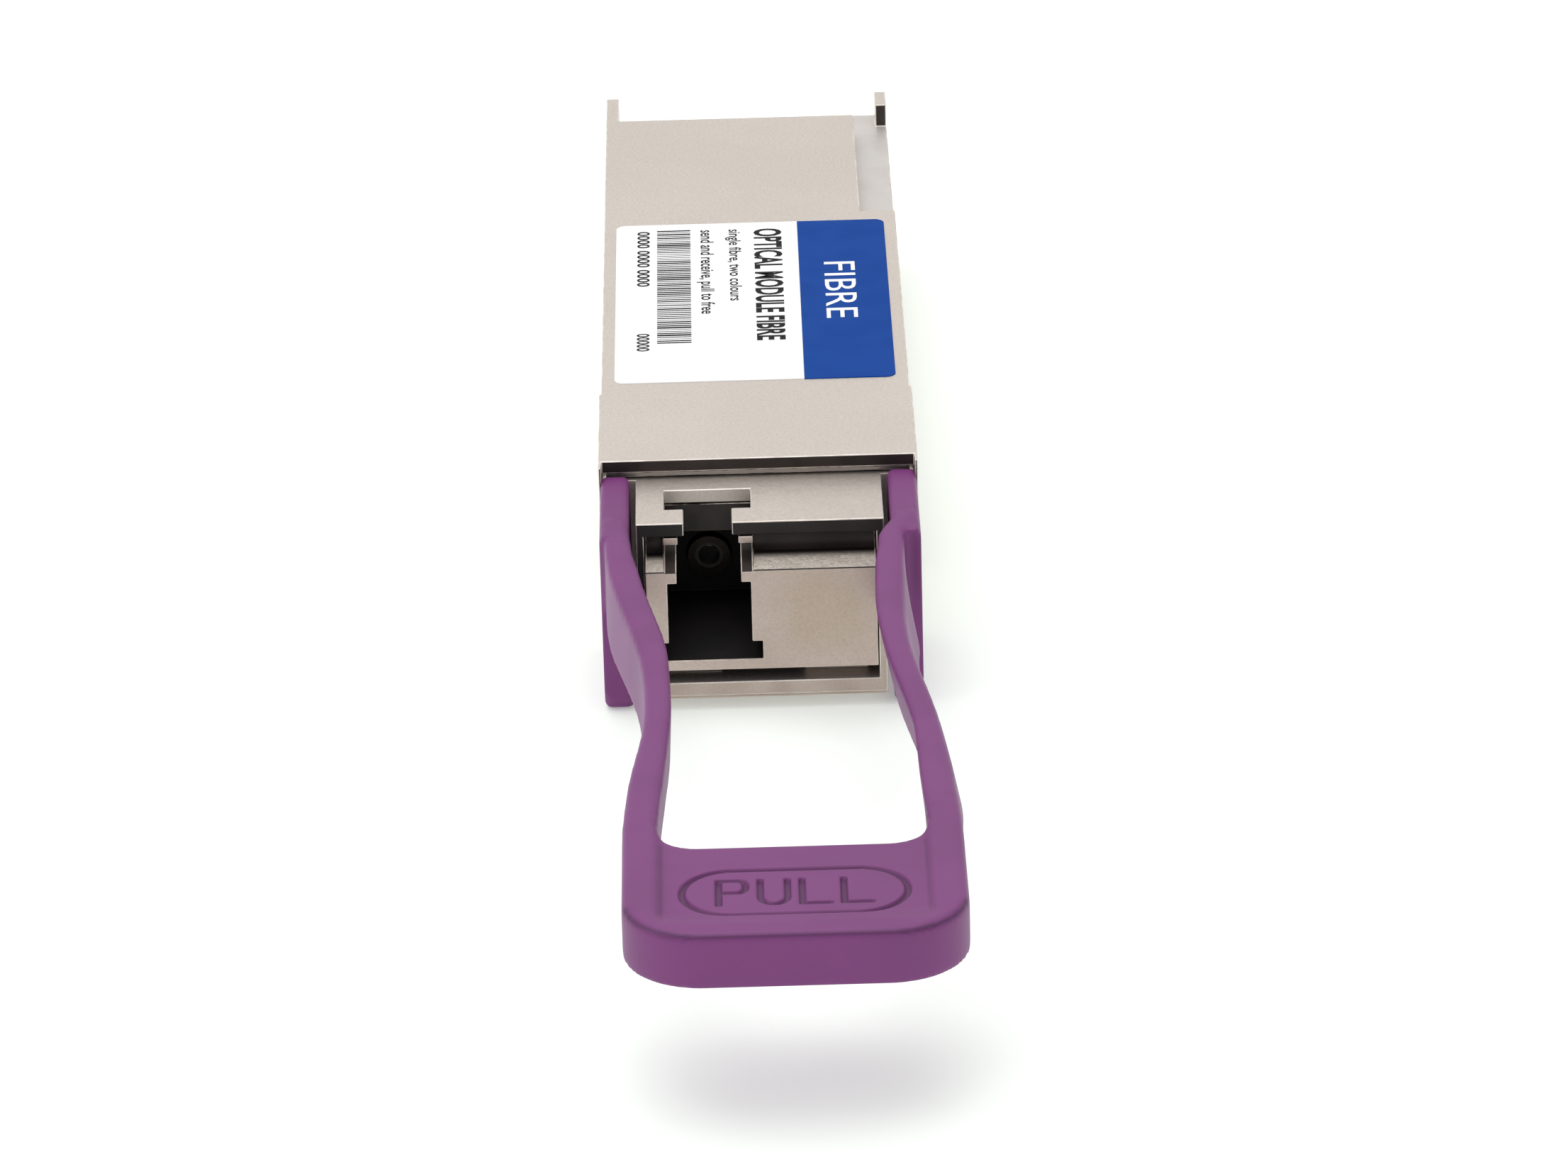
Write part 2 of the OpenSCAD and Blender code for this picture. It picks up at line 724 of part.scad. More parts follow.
module gasket_cords(size) {
    x = half_w - 0.85;
    both_sides() span([x - size / 2, x + size / 2], [step_y + 1.5, mouth_y - 1],
                      [parting_z - 0.35, parting_z]);
}

module gasket_grooves() {
    gasket_cords(0.46);
}

module shell_gaskets() {
    color("dimgray") gasket_cords(0.4);
}

module cover_screws() {
    color("dimgray") at_screws() difference() {
        union() {
            rod_z(screw_d / 2 - 0.02, 0, 0, [0.1, lid_z + 0.3]);
            rod_z(screw_head_d / 2, 0, 0, [0.1, 0.1 + screw_head_h]);
        }
        for (turn = [0, 90])
            rotate([0, 0, turn]) translate([0, 0, 0.2]) cube([1.5, 0.3, 0.6], center = true);
    }
}

module label() {
    half = half_w - label_margin;
    r = 0.6;
    y0 = step_y + label_gap;
    y1 = y0 + label_l;
    color("white") translate([0, 0, body_h]) linear_extrude(label_t) {
        translate([-half + r, y0]) square([2 * (half - r), y1 - y0]);
        translate([-half, y0 + r]) square([2 * half, y1 - y0 - 2 * r]);
        for (x = [-half + r, half - r], y = [y0 + r, y1 - r])
            translate([x, y]) circle(r = r);
    }
}

// One steel strip: a bridge over the core and a leg along each side
module latch_slider() {
    color("gray") {
        wide(leg_outer, [bridge_y0, bridge_y1], [bridge_z, bridge_z + slider_t]);
        span([stop_x - stop_w / 2, stop_x + stop_w / 2], [stop_y0, stop_y1],
             [stop_z, bridge_z + eps]);
        both_sides() {
            span([leg_inner, leg_outer], [bridge_y0, bridge_y1], [leg_z1 - eps, bridge_z + eps]);
            span([leg_inner, leg_outer], [tongue_root_y, leg_tip_y - 2.4], [leg_z0, leg_z1]);
            slider_tip();
            span([spring_x - spring_d / 2, leg_inner + eps], [spring_y1, spring_y1 + 0.5],
                 [spring_z - 0.7, spring_z + 0.7]);
        }
    }
}

// The leg's end is bent outwards into a ramp that spreads the cage's latch
module slider_tip() {
    bend = 0.25;
    translate([0, 0, leg_z0]) linear_extrude(leg_h) polygon([
        [leg_inner, leg_tip_y - 2.4 - eps], [leg_outer, leg_tip_y - 2.4 - eps],
        [leg_outer, leg_tip_y - 1.6], [leg_outer + bend, leg_tip_y],
        [leg_inner + bend, leg_tip_y], [leg_inner, leg_tip_y - 1.6]
    ]);
}

// A helix of wire from spring_y0 to spring_y1, closed at both ends
module return_spring() {
    sides = 8;
    per_turn = 12;
    n = per_turn * spring_coils;
    r = spring_wire / 2;
    coil_r = (spring_d - spring_wire) / 2;
    rise = spring_y1 - spring_y0 - spring_wire;
    points = [
        for (i = [0 : n], j = [0 : sides - 1])
            let (turn = 360 * i / per_turn, a = 360 * j / sides, out = coil_r + r * cos(a))
            [out * cos(turn), r + rise * i / n + r * sin(a), out * sin(turn)]
    ];
    walls = [
        for (i = [0 : n - 1], j = [0 : sides - 1])
            let (k = (j + 1) % sides, a = i * sides, b = a + sides)
            [a + j, b + j, b + k, a + k]
    ];
    ends = [
        [for (j = [0 : sides - 1]) j],
        [for (j = [0 : sides - 1]) n * sides + sides - 1 - j]
    ];
    translate([0, spring_y0, spring_z]) polyhedron(points, concat(ends, walls));
}

module spring_left() {
    color("silver") translate([-spring_x, 0, 0]) return_spring();
}

module spring_right() {
    color("silver") translate([spring_x, 0, 0]) return_spring();
}

// Rises smoothly from 0 to 1 between two places
function ease(t, from, to) =
    let (u = max(0, min(1, (t - from) / (to - from)))) u * u * (3 - 2 * u);

// Half the distance between the straps, at s in front of the port face
function strap_spread(s) =
    arm_mid
    - strap_jog * ease(s, -strap_jog_l, 0.8)
    - strap_pinch * ease(s, 0, strap_pinch_y)
    + (strap_grip_x - strap_pinch_x) * ease(s, strap_pinch_y, strap_l);

// How far the soft straps stand to one side
function strap_sway(s) =
    -root_sway * ease(s, -strap_jog_l, 0.8)
    + (tab_sway + root_sway) * ease(s, 2, 0.68 * strap_l);

function strap_half_t(s) =
    (strap_t + (strap_grip_t - strap_t) * ease(s, 0.62 * strap_l, 0.82 * strap_l)) / 2;

// Plan of one strap: out along one face and back along the other
module strap_plan(side) {
    s0 = -strap_jog_l - 0.4;
    s1 = strap_l + 1.5;
    steps = [for (i = [0 : strap_steps]) s0 + (s1 - s0) * i / strap_steps];
    function edge_x(s, face) =
        side * strap_spread(s) + strap_sway(s) + face * strap_half_t(s);
    polygon(concat(
        [for (i = [0 : strap_steps]) [edge_x(steps[i], 1), face_y - steps[i]]],
        [for (i = [strap_steps : -1 : 0]) [edge_x(steps[i], -1), face_y - steps[i]]]
    ));
}

// Side view of the straps, deep at the nose and shallow at the grip
module strap_side() {
    translate([-20, 0, 0]) rotate([90, 0, 90]) linear_extrude(40) polygon([
        [face_y + strap_jog_l + 1, tab_top_z - strap_h], [face_y - 6, tab_top_z - strap_h],
        [grip_rear_y, grip_z0], [grip_rear_y - 3, grip_z0],
        [grip_rear_y - 3, tab_top_z], [face_y + strap_jog_l + 1, tab_top_z]
    ]);
}

// An arm beside the nose core, with a rounded lower front corner
module arm() {
    r = 0.8;
    z0 = -arm_drop;
    difference() {
        translate([arm_inner, 0, 0]) rotate([90, 0, 90]) linear_extrude(arm_t) {
            translate([face_y, z0 + r]) square([arm_rear_y - face_y, tab_top_z - z0 - r]);
            translate([face_y + r, z0]) square([arm_rear_y - face_y - r, r + eps]);
            translate([face_y + r, z0 + r]) circle(r = r);
        }
        // Clear of the cover's side lips
        translate([arm_outer, arm_rear_y, leg_z1]) rotate([0, 0, 10])
            translate([-0.3, -2, 0]) cube([2, 4, 10]);
        // Seat of the slider's leg
        span([leg_inner, leg_outer], [tongue_root_y, arm_rear_y + 1], [leg_z0, leg_z1]);
    }
}

// Plan of the grip, with round front corners
module grip_plan() {
    translate([tab_sway, 0]) {
        translate([-grip_half, grip_front_y + grip_r])
            square([grip_w, grip_l - grip_r]);
        translate([-grip_half + grip_r, grip_front_y]) square([grip_w - 2 * grip_r, grip_r + 1]);
        for (side = [-1, 1])
            translate([side * (grip_half - grip_r), grip_front_y + grip_r])
                circle(r = grip_r);
    }
}

// One fillet inside the corner between a strap and the grip
module grip_corner(side) {
    x = tab_sway + side * (grip_half - strap_grip_t - 0.1);
    difference() {
        translate([side > 0 ? x - grip_fillet : x, grip_rear_y - eps])
            square([grip_fillet, grip_fillet]);
        translate([x - side * grip_fillet, grip_rear_y + grip_fillet]) circle(r = grip_fillet);
    }
}

// A straight line, engraved from above
module engraved_bar(from, to) {
    d = to - from;
    length = norm(d);
    translate([from[0], from[1], 0]) rotate([0, 0, atan2(d[1], d[0])])
        translate([0, -groove_w / 2, 0]) cube([length, groove_w, 2]);
}

module engraved_ring() {
    difference() {
        linear_extrude(2) stadium(ring_l, ring_w);
        translate([0, 0, -1]) linear_extrude(4)
            stadium(ring_l - 2 * groove_w, ring_w - 2 * groove_w);
    }
}

module stadium(length, width) {
    translate([-(length - width) / 2, -width / 2]) square([length - width, width]);
    for (side = [-1, 1])
        translate([side * (length - width) / 2, 0]) circle(d = width);
}

// The word PULL in plain strokes
module engraved_word() {
    h = 2.8;
    w = 1.4;
    gap = 0.75;
    for (i = [0 : 3]) translate([(i - 1.5) * (w + gap) - w / 2, -h / 2, 0]) {
        engraved_bar([0, 0], [0, h]);
        if (i == 0) {
            engraved_bar([0, h], [w, h]);
            engraved_bar([0, h / 2], [w, h / 2]);
            engraved_bar([w, h / 2], [w, h]);
        } else {
            engraved_bar([0, 0], [w, 0]);
        }
        if (i == 1) engraved_bar([w, 0], [w, h]);
    }
}

module grip_pocket() {
    x = [tab_sway - grip_half + grip_rim, tab_sway + grip_half - grip_rim];
    z = tab_top_z - grip_pocket_d;
    translate([x[0], 0, 0]) rotate([90, 0, 90]) linear_extrude(x[1] - x[0]) polygon([
        [grip_front_y + 1.4, tab_top_z + eps], [grip_front_y + 3, z],
        [grip_rear_y + grip_fillet + 1, z], [grip_rear_y + grip_fillet + 1, tab_top_z + eps]
    ]);
}

// The soft pull tab: two arms, two straps and the grip, moulded in one
module pull_tab() {
    color("mediumorchid") {
        difference() {
            union() {
                both_sides() arm();
                intersection() {
                    strap_side();
                    translate([0, 0, -5]) linear_extrude(20) {
                        strap_plan(-1);
                        strap_plan(1);
                    }
                }
                translate([0, 0, grip_z0]) linear_extrude(grip_h) {
                    grip_plan();
                    grip_corner(-1);
                    grip_corner(1);
                }
            }
            grip_pocket();
            translate([tab_sway, grip_rear_y - grip_l / 2, tab_top_z - grip_pocket_d - groove_d]) {
                engraved_ring();
                engraved_word();
            }
        }
    }
}

base_shell();
cover_shell();
port_insert();
port_gasket();
port_barrel();
ferrule_sleeve();
fibre_stub();
optical_body();
laser_can();
receiver_can();
optic_clamp();
clamp_screws();
laser_flex();
receiver_flex();
main_board();
edge_contacts();
signal_processor();
processor_pad();
laser_driver();
driver_pad();
microcontroller();
crystal();
power_inductors();
capacitors();
resistors();
absorber_pad();
shell_gaskets();
cover_screws();
label();
latch_slider();
spring_left();
spring_right();
pull_tab();
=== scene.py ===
# %% [markdown]
# # A pluggable optical module and its finishes
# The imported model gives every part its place, in metres. This lesson keeps those places
# and adds what a drawing leaves out: soft edges, plating, print and moulded plastic.

# %% Load the frame
import json
import math

import bmesh
import bpy
import numpy as np
from mathutils import Matrix, Vector


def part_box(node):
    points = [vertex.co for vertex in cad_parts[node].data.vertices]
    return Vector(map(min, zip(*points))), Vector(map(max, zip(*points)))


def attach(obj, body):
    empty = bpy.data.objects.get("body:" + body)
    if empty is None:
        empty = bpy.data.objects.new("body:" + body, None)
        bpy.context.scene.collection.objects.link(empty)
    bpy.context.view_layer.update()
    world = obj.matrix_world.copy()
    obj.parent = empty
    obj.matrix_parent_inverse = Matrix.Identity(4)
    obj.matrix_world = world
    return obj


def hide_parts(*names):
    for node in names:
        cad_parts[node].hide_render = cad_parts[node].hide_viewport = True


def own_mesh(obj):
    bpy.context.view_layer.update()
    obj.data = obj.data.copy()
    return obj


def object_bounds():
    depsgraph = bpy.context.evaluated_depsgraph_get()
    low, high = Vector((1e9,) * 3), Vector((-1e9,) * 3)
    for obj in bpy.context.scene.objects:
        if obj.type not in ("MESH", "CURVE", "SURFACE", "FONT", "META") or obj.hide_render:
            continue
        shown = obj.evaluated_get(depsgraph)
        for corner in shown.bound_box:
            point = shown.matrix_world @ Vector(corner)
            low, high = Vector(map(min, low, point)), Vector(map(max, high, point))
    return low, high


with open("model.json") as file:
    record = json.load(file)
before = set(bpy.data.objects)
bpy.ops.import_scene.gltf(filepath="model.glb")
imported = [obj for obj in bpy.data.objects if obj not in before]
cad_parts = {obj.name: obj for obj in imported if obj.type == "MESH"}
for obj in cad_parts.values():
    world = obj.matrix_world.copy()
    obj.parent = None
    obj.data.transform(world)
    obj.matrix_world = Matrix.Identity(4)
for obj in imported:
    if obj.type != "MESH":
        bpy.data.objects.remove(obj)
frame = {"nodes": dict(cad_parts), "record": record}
cad_low, cad_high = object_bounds()
scene = bpy.context.scene
MM = 0.001
print(len(frame["nodes"]), "nodes; the object is",
      [round(1000 * (b - a), 1) for a, b in zip(cad_low, cad_high)], "mm")

# %% [markdown]
# ## The camera, the floor and the light
# A long lens from a little above looks along the module from its pull tab. The floor is
# white, and the light is soft and comes mostly from above, as in a light tent. Surfaces
# that face the viewer get less of it, which gives the metal its darker fronts.

# %% Camera
camera_place = (-0.724, -439.44, 173.47)
camera_pan, camera_down, camera_roll = -0.293, 23.286, -1.515
camera_data = bpy.data.cameras.new("camera")
camera_data.sensor_width = 36
camera_data.lens = 171.6
camera_data.clip_start = 0.01
camera = bpy.data.objects.new("camera", camera_data)
scene.collection.objects.link(camera)
turn = (Matrix.Rotation(math.radians(camera_pan), 4, "Z")
        @ Matrix.Rotation(math.radians(90 - camera_down), 4, "X")
        @ Matrix.Rotation(math.radians(camera_roll), 4, "Z"))
camera.matrix_world = Matrix.Translation([c * MM for c in camera_place]) @ turn
scene.camera = camera
scene.view_settings.view_transform = "Standard"
print("lens", camera_data.lens, "mm")

# %% Floor and lights
floor_z = cad_low[2]


def new_object(name, mesh):
    made = bpy.data.objects.new(name, mesh)
    scene.collection.objects.link(made)
    return made


def new_mesh(name, points, faces):
    mesh = bpy.data.meshes.new(name)
    mesh.from_pydata([tuple(p) for p in points], [], faces)
    mesh.update()
    return mesh


floor_half = 3.0  # in metres, so that its edges stay out of view
corners = [(x * floor_half, y * floor_half, floor_z)
           for x, y in ((-1, -1), (1, -1), (1, 1), (-1, 1))]
floor = new_object("floor", new_mesh("floor", corners, [(0, 1, 2, 3)]))


def soft_box(name, place, target, size, power):
    light = bpy.data.lights.new(name, "AREA")
    light.shape = "RECTANGLE"
    light.size, light.size_y = size
    light.energy = power
    lamp = new_object(name, light)
    lamp.location = place
    lamp.rotation_euler = (Vector(target) - Vector(place)).to_track_quat("-Z", "Y").to_euler()


soft_box("roof_light", (-0.1, 0.1, 0.9), target=(0, -0.02, 0), size=(0.9, 0.9), power=4.3)
soft_box("side_light", (-0.8, -0.3, 0.5), target=(0, -0.04, 0), size=(0.5, 0.4), power=1.3)

world = bpy.data.worlds.new("light_tent")
scene.world = world
world.use_nodes = True
sky = world.node_tree
sky.nodes.clear()
print("floor at", round(1000 * floor_z, 2), "mm")

# %% [markdown]
# ## Small helpers for node trees
# A node tree is easier to read when one call makes a node, sets it and wires it. A value
# goes straight onto a socket, and a socket is linked.


# %% Node helpers
def add_node(tree, kind, inputs=None, **settings):
    made = tree.nodes.new(kind)
    for name, value in settings.items():
        setattr(made, name, value)
    for name, value in (inputs or {}).items():
        socket = made.inputs[name]
        if isinstance(value, bpy.types.NodeSocket):
            tree.links.new(value, socket)
        else:
            socket.default_value = value
    return made


def maths(tree, operation, *values, clamp=False):
    made = add_node(tree, "ShaderNodeMath", operation=operation, use_clamp=clamp)
    for i, value in enumerate(values):
        if isinstance(value, bpy.types.NodeSocket):
            tree.links.new(value, made.inputs[i])
        else:
            made.inputs[i].default_value = value
    return made.outputs[0]


def fade(tree, value, low, high, to_low=0.0, to_high=1.0):
    return add_node(tree, "ShaderNodeMapRange", {
        "Value": value, "From Min": low, "From Max": high,
        "To Min": to_low, "To Max": to_high}, interpolation_type="SMOOTHSTEP").outputs["Result"]


def mix_colour(tree, factor, a, b, blend="MIX"):
    made = add_node(tree, "ShaderNodeMix", data_type="RGBA", blend_type=blend)
    for socket, value in ((made.inputs[0], factor), (made.inputs[6], a), (made.inputs[7], b)):
        if isinstance(value, bpy.types.NodeSocket):
            tree.links.new(value, socket)
        else:
            socket.default_value = value
    return made.outputs[2]


def place(tree):
    return add_node(tree, "ShaderNodeTexCoord").outputs["Object"]


def noise(tree, coords, per_mm, detail=2.0, roughness=0.5, distortion=0.0):
    """per_mm is a number for each millimetre, or a socket that already counts for each metre."""
    scale = per_mm if isinstance(per_mm, bpy.types.NodeSocket) else per_mm * 1000
    return add_node(tree, "ShaderNodeTexNoise", {
        "Vector": coords, "Scale": scale, "Detail": detail, "Roughness": roughness,
        "Distortion": distortion}).outputs["Fac"]


def srgb(r, g, b):
    """A colour as it looks on a screen, 0 to 255, as the linear light that shaders use."""
    def linear(c):
        c = c / 255
        return c / 12.92 if c <= 0.04045 else ((c + 0.055) / 1.055) ** 2.4
    return (linear(r), linear(g), linear(b), 1.0)


below, below_level = -0.1, 0.88
above, above_level = 0.9, 1.05
background = add_node(sky, "ShaderNodeBackground")
sky_up = add_node(sky, "ShaderNodeSeparateXYZ",
                  {"Vector": add_node(sky, "ShaderNodeTexCoord").outputs["Generated"]})
sky_level = fade(sky, sky_up.outputs["Z"], below, above, below_level, above_level)
sky.links.new(sky_level, background.inputs["Strength"])
sky.links.new(background.outputs[0],
              add_node(sky, "ShaderNodeOutputWorld").inputs["Surface"])
print("the light tent's level goes from", below_level, "to", above_level)

# %% [markdown]
# ## Effects that several finishes share
# Fine grain, broad mottling and worn edges are the same on every material here, only
# stronger or finer. Each is a node group with its own inputs, built once. The wear sits on
# the rounded edges, which carry the attribute worn_edge.


# %% Shared effect groups
def effect_group(name, inputs, outputs):
    group = bpy.data.node_groups.new(name, "ShaderNodeTree")
    for label, value in inputs:
        socket = group.interface.new_socket(label, in_out="INPUT", socket_type="NodeSocketFloat")
        socket.default_value = value
    for label in outputs:
        group.interface.new_socket(label, in_out="OUTPUT", socket_type="NodeSocketFloat")
    return group, group.nodes.new("NodeGroupInput"), group.nodes.new("NodeGroupOutput")


grain, ins, outs = effect_group("fine_grain", [("Scale", 8000.0), ("Contrast", 1.0)],
                                ["Speckle", "Height"])
coords = place(grain)
fine = noise(grain, coords, ins.outputs["Scale"], detail=3.0, roughness=0.6)
pits = add_node(grain, "ShaderNodeTexVoronoi",
                {"Vector": coords, "Scale": ins.outputs["Scale"]}).outputs["Distance"]
centred = maths(grain, "SUBTRACT", fine, 0.5)
grain.links.new(maths(grain, "MULTIPLY_ADD", centred, ins.outputs["Contrast"], 0.5, clamp=True),
                outs.inputs["Speckle"])
grain.links.new(maths(grain, "MULTIPLY_ADD", pits, 0.4, fine), outs.inputs["Height"])

mottle, ins, outs = effect_group("broad_mottle", [("Scale", 300.0), ("Low", 0.4), ("High", 0.6)],
                                 ["Mask"])
cloud = noise(mottle, place(mottle), ins.outputs["Scale"], detail=1.5, roughness=0.45,
              distortion=0.4)
mottle.links.new(add_node(mottle, "ShaderNodeMapRange", {
    "Value": cloud, "From Min": ins.outputs["Low"], "From Max": ins.outputs["High"]},
    interpolation_type="SMOOTHSTEP").outputs["Result"], outs.inputs["Mask"])

wear, ins, outs = effect_group("edge_wear", [("Scale", 900.0), ("Amount", 0.6)], ["Mask"])
sharp = add_node(wear, "ShaderNodeAttribute", attribute_name="worn_edge").outputs["Fac"]
broken = fade(wear, noise(wear, place(wear), ins.outputs["Scale"], detail=4.0), 0.35, 0.65)
wear.links.new(maths(wear, "MULTIPLY", maths(wear, "MULTIPLY", sharp, broken),
                     ins.outputs["Amount"]), outs.inputs["Mask"])


def use(tree, group, **inputs):
    made = tree.nodes.new("ShaderNodeGroup")
    made.node_tree = group
    for name, value in inputs.items():
        made.inputs[name].default_value = value
    return made.outputs


print("shared effects:", [g.name for g in bpy.data.node_groups])

# %% [markdown]
# ## One recipe for a finish
# A metal, a ceramic and a plastic differ in a handful of numbers. The recipe lays a
# second colour over the first where the mottle says, breaks up the gloss with grain,
# lightens worn edges and raises a fine bump.

# %% Finish recipe
finishes = {}
# The colour of painted shade, which some finishes darken into towards the back.
painted_shade_colour = srgb(24, 20, 19)
wear_scale = 900.0


def finish(name, colour, second, metallic=0.0, rough=(0.35, 0.5), grain_mm=0.12, bump=0.3,
           depth_mm=0.01, mottle_mm=3.0, contrast=0.5, worn=None, worn_amount=0.5, stain=None,
           dim=None, crease_shade=None, **sockets):
    """stain is (colour, middle of the stain in mm, its radius in mm). dim is the Y in mm
    where a painted shade, darker towards the back, starts and where it is full. The crease
    colour is a painted shade, laid where a piece's attribute marks grooves and rounded rims."""
    material = bpy.data.materials.new(name)
    material.use_nodes = True
    tree = material.node_tree
    tree.nodes.clear()
    surface = use(tree, grain, Scale=1000 / grain_mm, Contrast=contrast)
    patch = use(tree, mottle, Scale=1000 / mottle_mm, Low=0.38, High=0.66)["Mask"]
    tone = mix_colour(tree, patch, colour, second)
    if stain:
        away = add_node(tree, "ShaderNodeVectorMath", {0: place(tree), 1: [
            c * MM for c in stain[1]]}, operation="DISTANCE").outputs["Value"]
        radius = stain[2] * MM
        ragged = maths(tree, "MULTIPLY_ADD", noise(tree, place(tree), 0.9, detail=5.0),
                       -1.2 * radius, away)
        spread = fade(tree, ragged, -0.3 * radius, 0.6 * radius, 0.8, 0.0)
        tone = mix_colour(tree, spread, tone, stain[0])
    # Painted shade: the colour darkens towards the back, between the two Y of dim.
    if dim:
        back = add_node(tree, "ShaderNodeSeparateXYZ", {"Vector": place(tree)}).outputs["Y"]
        tone = mix_colour(tree, fade(tree, back, dim[0] * MM, dim[1] * MM), tone, painted_shade_colour)
    # Painted shade in the creases that a piece marks in its attribute.
    if crease_shade:
        marked = add_node(tree, "ShaderNodeAttribute", attribute_name="crease_shade").outputs["Fac"]
        tone = mix_colour(tree, marked, tone, crease_shade)
    dark = mix_colour(tree, 0.3, tone, (0.0, 0.0, 0.0, 1.0))
    tone = mix_colour(tree, surface["Speckle"], dark, tone)
    if worn:
        edges = use(tree, wear, Scale=wear_scale, Amount=worn_amount)["Mask"]
        tone = mix_colour(tree, edges, tone, worn)
    gloss = fade(tree, maths(tree, "MULTIPLY_ADD", patch, 0.15, surface["Speckle"]),
                 0.2, 1.1, rough[0], rough[1])
    bumped = add_node(tree, "ShaderNodeBump", {
        "Strength": bump, "Distance": depth_mm * MM, "Height": surface["Height"]})
    shader = add_node(tree, "ShaderNodeBsdfPrincipled", {
        "Base Color": tone, "Roughness": gloss, "Normal": bumped.outputs["Normal"],
        "Metallic": metallic, **sockets})
    tree.links.new(shader.outputs[0], add_node(tree, "ShaderNodeOutputMaterial").inputs[0])
    finishes[name] = material
    return material


finish("die_cast", srgb(226, 216, 207), srgb(221, 211, 202), 0.8, (0.4, 0.5), 0.16, 0.2,
       depth_mm=0.005, mottle_mm=8.0, contrast=1.3, worn=srgb(240, 235, 228))
# Painted shade for front faces of the housing's lower lip, which get less light.
finish("painted_front_shade", srgb(197, 182, 172), srgb(185, 168, 156), 0.5, (0.4, 0.55), 0.14, 0.25,
       depth_mm=0.005, mottle_mm=3.0, contrast=1.2, worn=srgb(232, 224, 214))
# Painted shade for faces in shade, dark with rounded edges that keep a light colour.
finish("shaded_edge", srgb(52, 44, 41), srgb(38, 32, 30), 0.4, (0.35, 0.5), 0.12, 0.3,
       contrast=1.2, worn=srgb(196, 186, 176), worn_amount=0.9)
# Painted shade for recesses, near black and without light edges.
finish("painted_recess_shade", srgb(32, 26, 24), srgb(24, 19, 18), 0.1, (0.5, 0.65), 0.15, 0.3,
       contrast=1.4)
# Painted shade: near black for the port's deep inside.
finish("port_shade_black", srgb(20, 15, 15), srgb(13, 10, 10), 0.0, (0.55, 0.7), 0.12, 0.3,
       **{"Specular IOR Level": 0.25})
finish("cover_metal", srgb(229, 219, 210), srgb(225, 215, 206), 0.8, (0.42, 0.5), 0.16, 0.2,
       depth_mm=0.005, mottle_mm=9.0, contrast=1.3, worn=srgb(246, 241, 234), worn_amount=0.8)
finish("milled_metal", srgb(228, 223, 218), srgb(222, 216, 211), 0.6, (0.4, 0.5), 0.08, 0.2,
       contrast=0.4)
finish("insert_plastic", srgb(207, 191, 180), srgb(201, 184, 172), 0.3, (0.45, 0.6), 0.16, 0.2,
       depth_mm=0.005, mottle_mm=5.0, contrast=1.3, worn=srgb(240, 232, 220),
       stain=(srgb(196, 177, 158), (3.4, -46.2, 2.6), 3.2))
finish("gasket", srgb(70, 68, 66), srgb(50, 49, 48), 0.0, (0.6, 0.8), 0.2, 0.6)
# The barrel's dark colour is painted shade, as it lies deep in the port.
finish("barrel_metal", srgb(58, 52, 48), srgb(46, 41, 38), 1.0, (0.25, 0.4), 0.1, 0.2)
finish("zirconia", srgb(238, 234, 226), srgb(228, 222, 210), 0.0, (0.12, 0.2), 0.15, 0.05)
finish("black_ceramic", srgb(48, 43, 40), srgb(36, 32, 30), 0.0, (0.3, 0.42), 0.15, 0.1)
finish("optic_metal", srgb(200, 200, 202), srgb(178, 178, 182), 1.0, (0.25, 0.4), 0.12, 0.3)
finish("gold_can", srgb(226, 188, 110), srgb(206, 164, 88), 1.0, (0.18, 0.3), 0.15, 0.15)
finish("screw_steel", srgb(120, 118, 118), srgb(92, 90, 92), 1.0, (0.3, 0.45), 0.1, 0.4,
       worn=srgb(190, 188, 186))
finish("flex_film", srgb(196, 124, 44), srgb(170, 98, 30), 0.0, (0.25, 0.35), 0.15, 0.15)
finish("board_laminate", srgb(30, 92, 56), srgb(22, 74, 46), 0.0, (0.28, 0.42), 0.1, 0.3,
       mottle_mm=1.2)
finish("contact_gold", srgb(232, 190, 98), srgb(216, 168, 76), 1.0, (0.2, 0.34), 0.08, 0.2)
finish("chip_epoxy", srgb(42, 42, 45), srgb(34, 34, 36), 0.0, (0.5, 0.68), 0.09, 0.5)
finish("thermal_gap_pad", srgb(150, 178, 196), srgb(136, 164, 184), 0.0, (0.7, 0.85), 0.2, 0.7)
finish("crystal_can", srgb(205, 205, 206), srgb(188, 188, 190), 1.0, (0.22, 0.36), 0.12, 0.2)
finish("ferrite", srgb(72, 72, 76), srgb(60, 60, 64), 0.1, (0.5, 0.65), 0.1, 0.6)
finish("capacitor_body", srgb(178, 142, 104), srgb(160, 124, 88), 0.0, (0.4, 0.55), 0.1, 0.3)
finish("resistor_body", srgb(32, 32, 34), srgb(44, 44, 46), 0.0, (0.35, 0.5), 0.1, 0.2)
finish("absorber", srgb(58, 58, 60), srgb(46, 46, 48), 0.0, (0.8, 0.95), 0.25, 1.0)
finish("slider_steel", srgb(172, 168, 164), srgb(164, 160, 156), 0.9, (0.3, 0.42), 0.14, 0.2,
       mottle_mm=7.0, contrast=0.8, worn=srgb(214, 210, 206))
finish("spring_steel", srgb(170, 170, 172), srgb(140, 140, 144), 1.0, (0.2, 0.32), 0.1, 0.2)
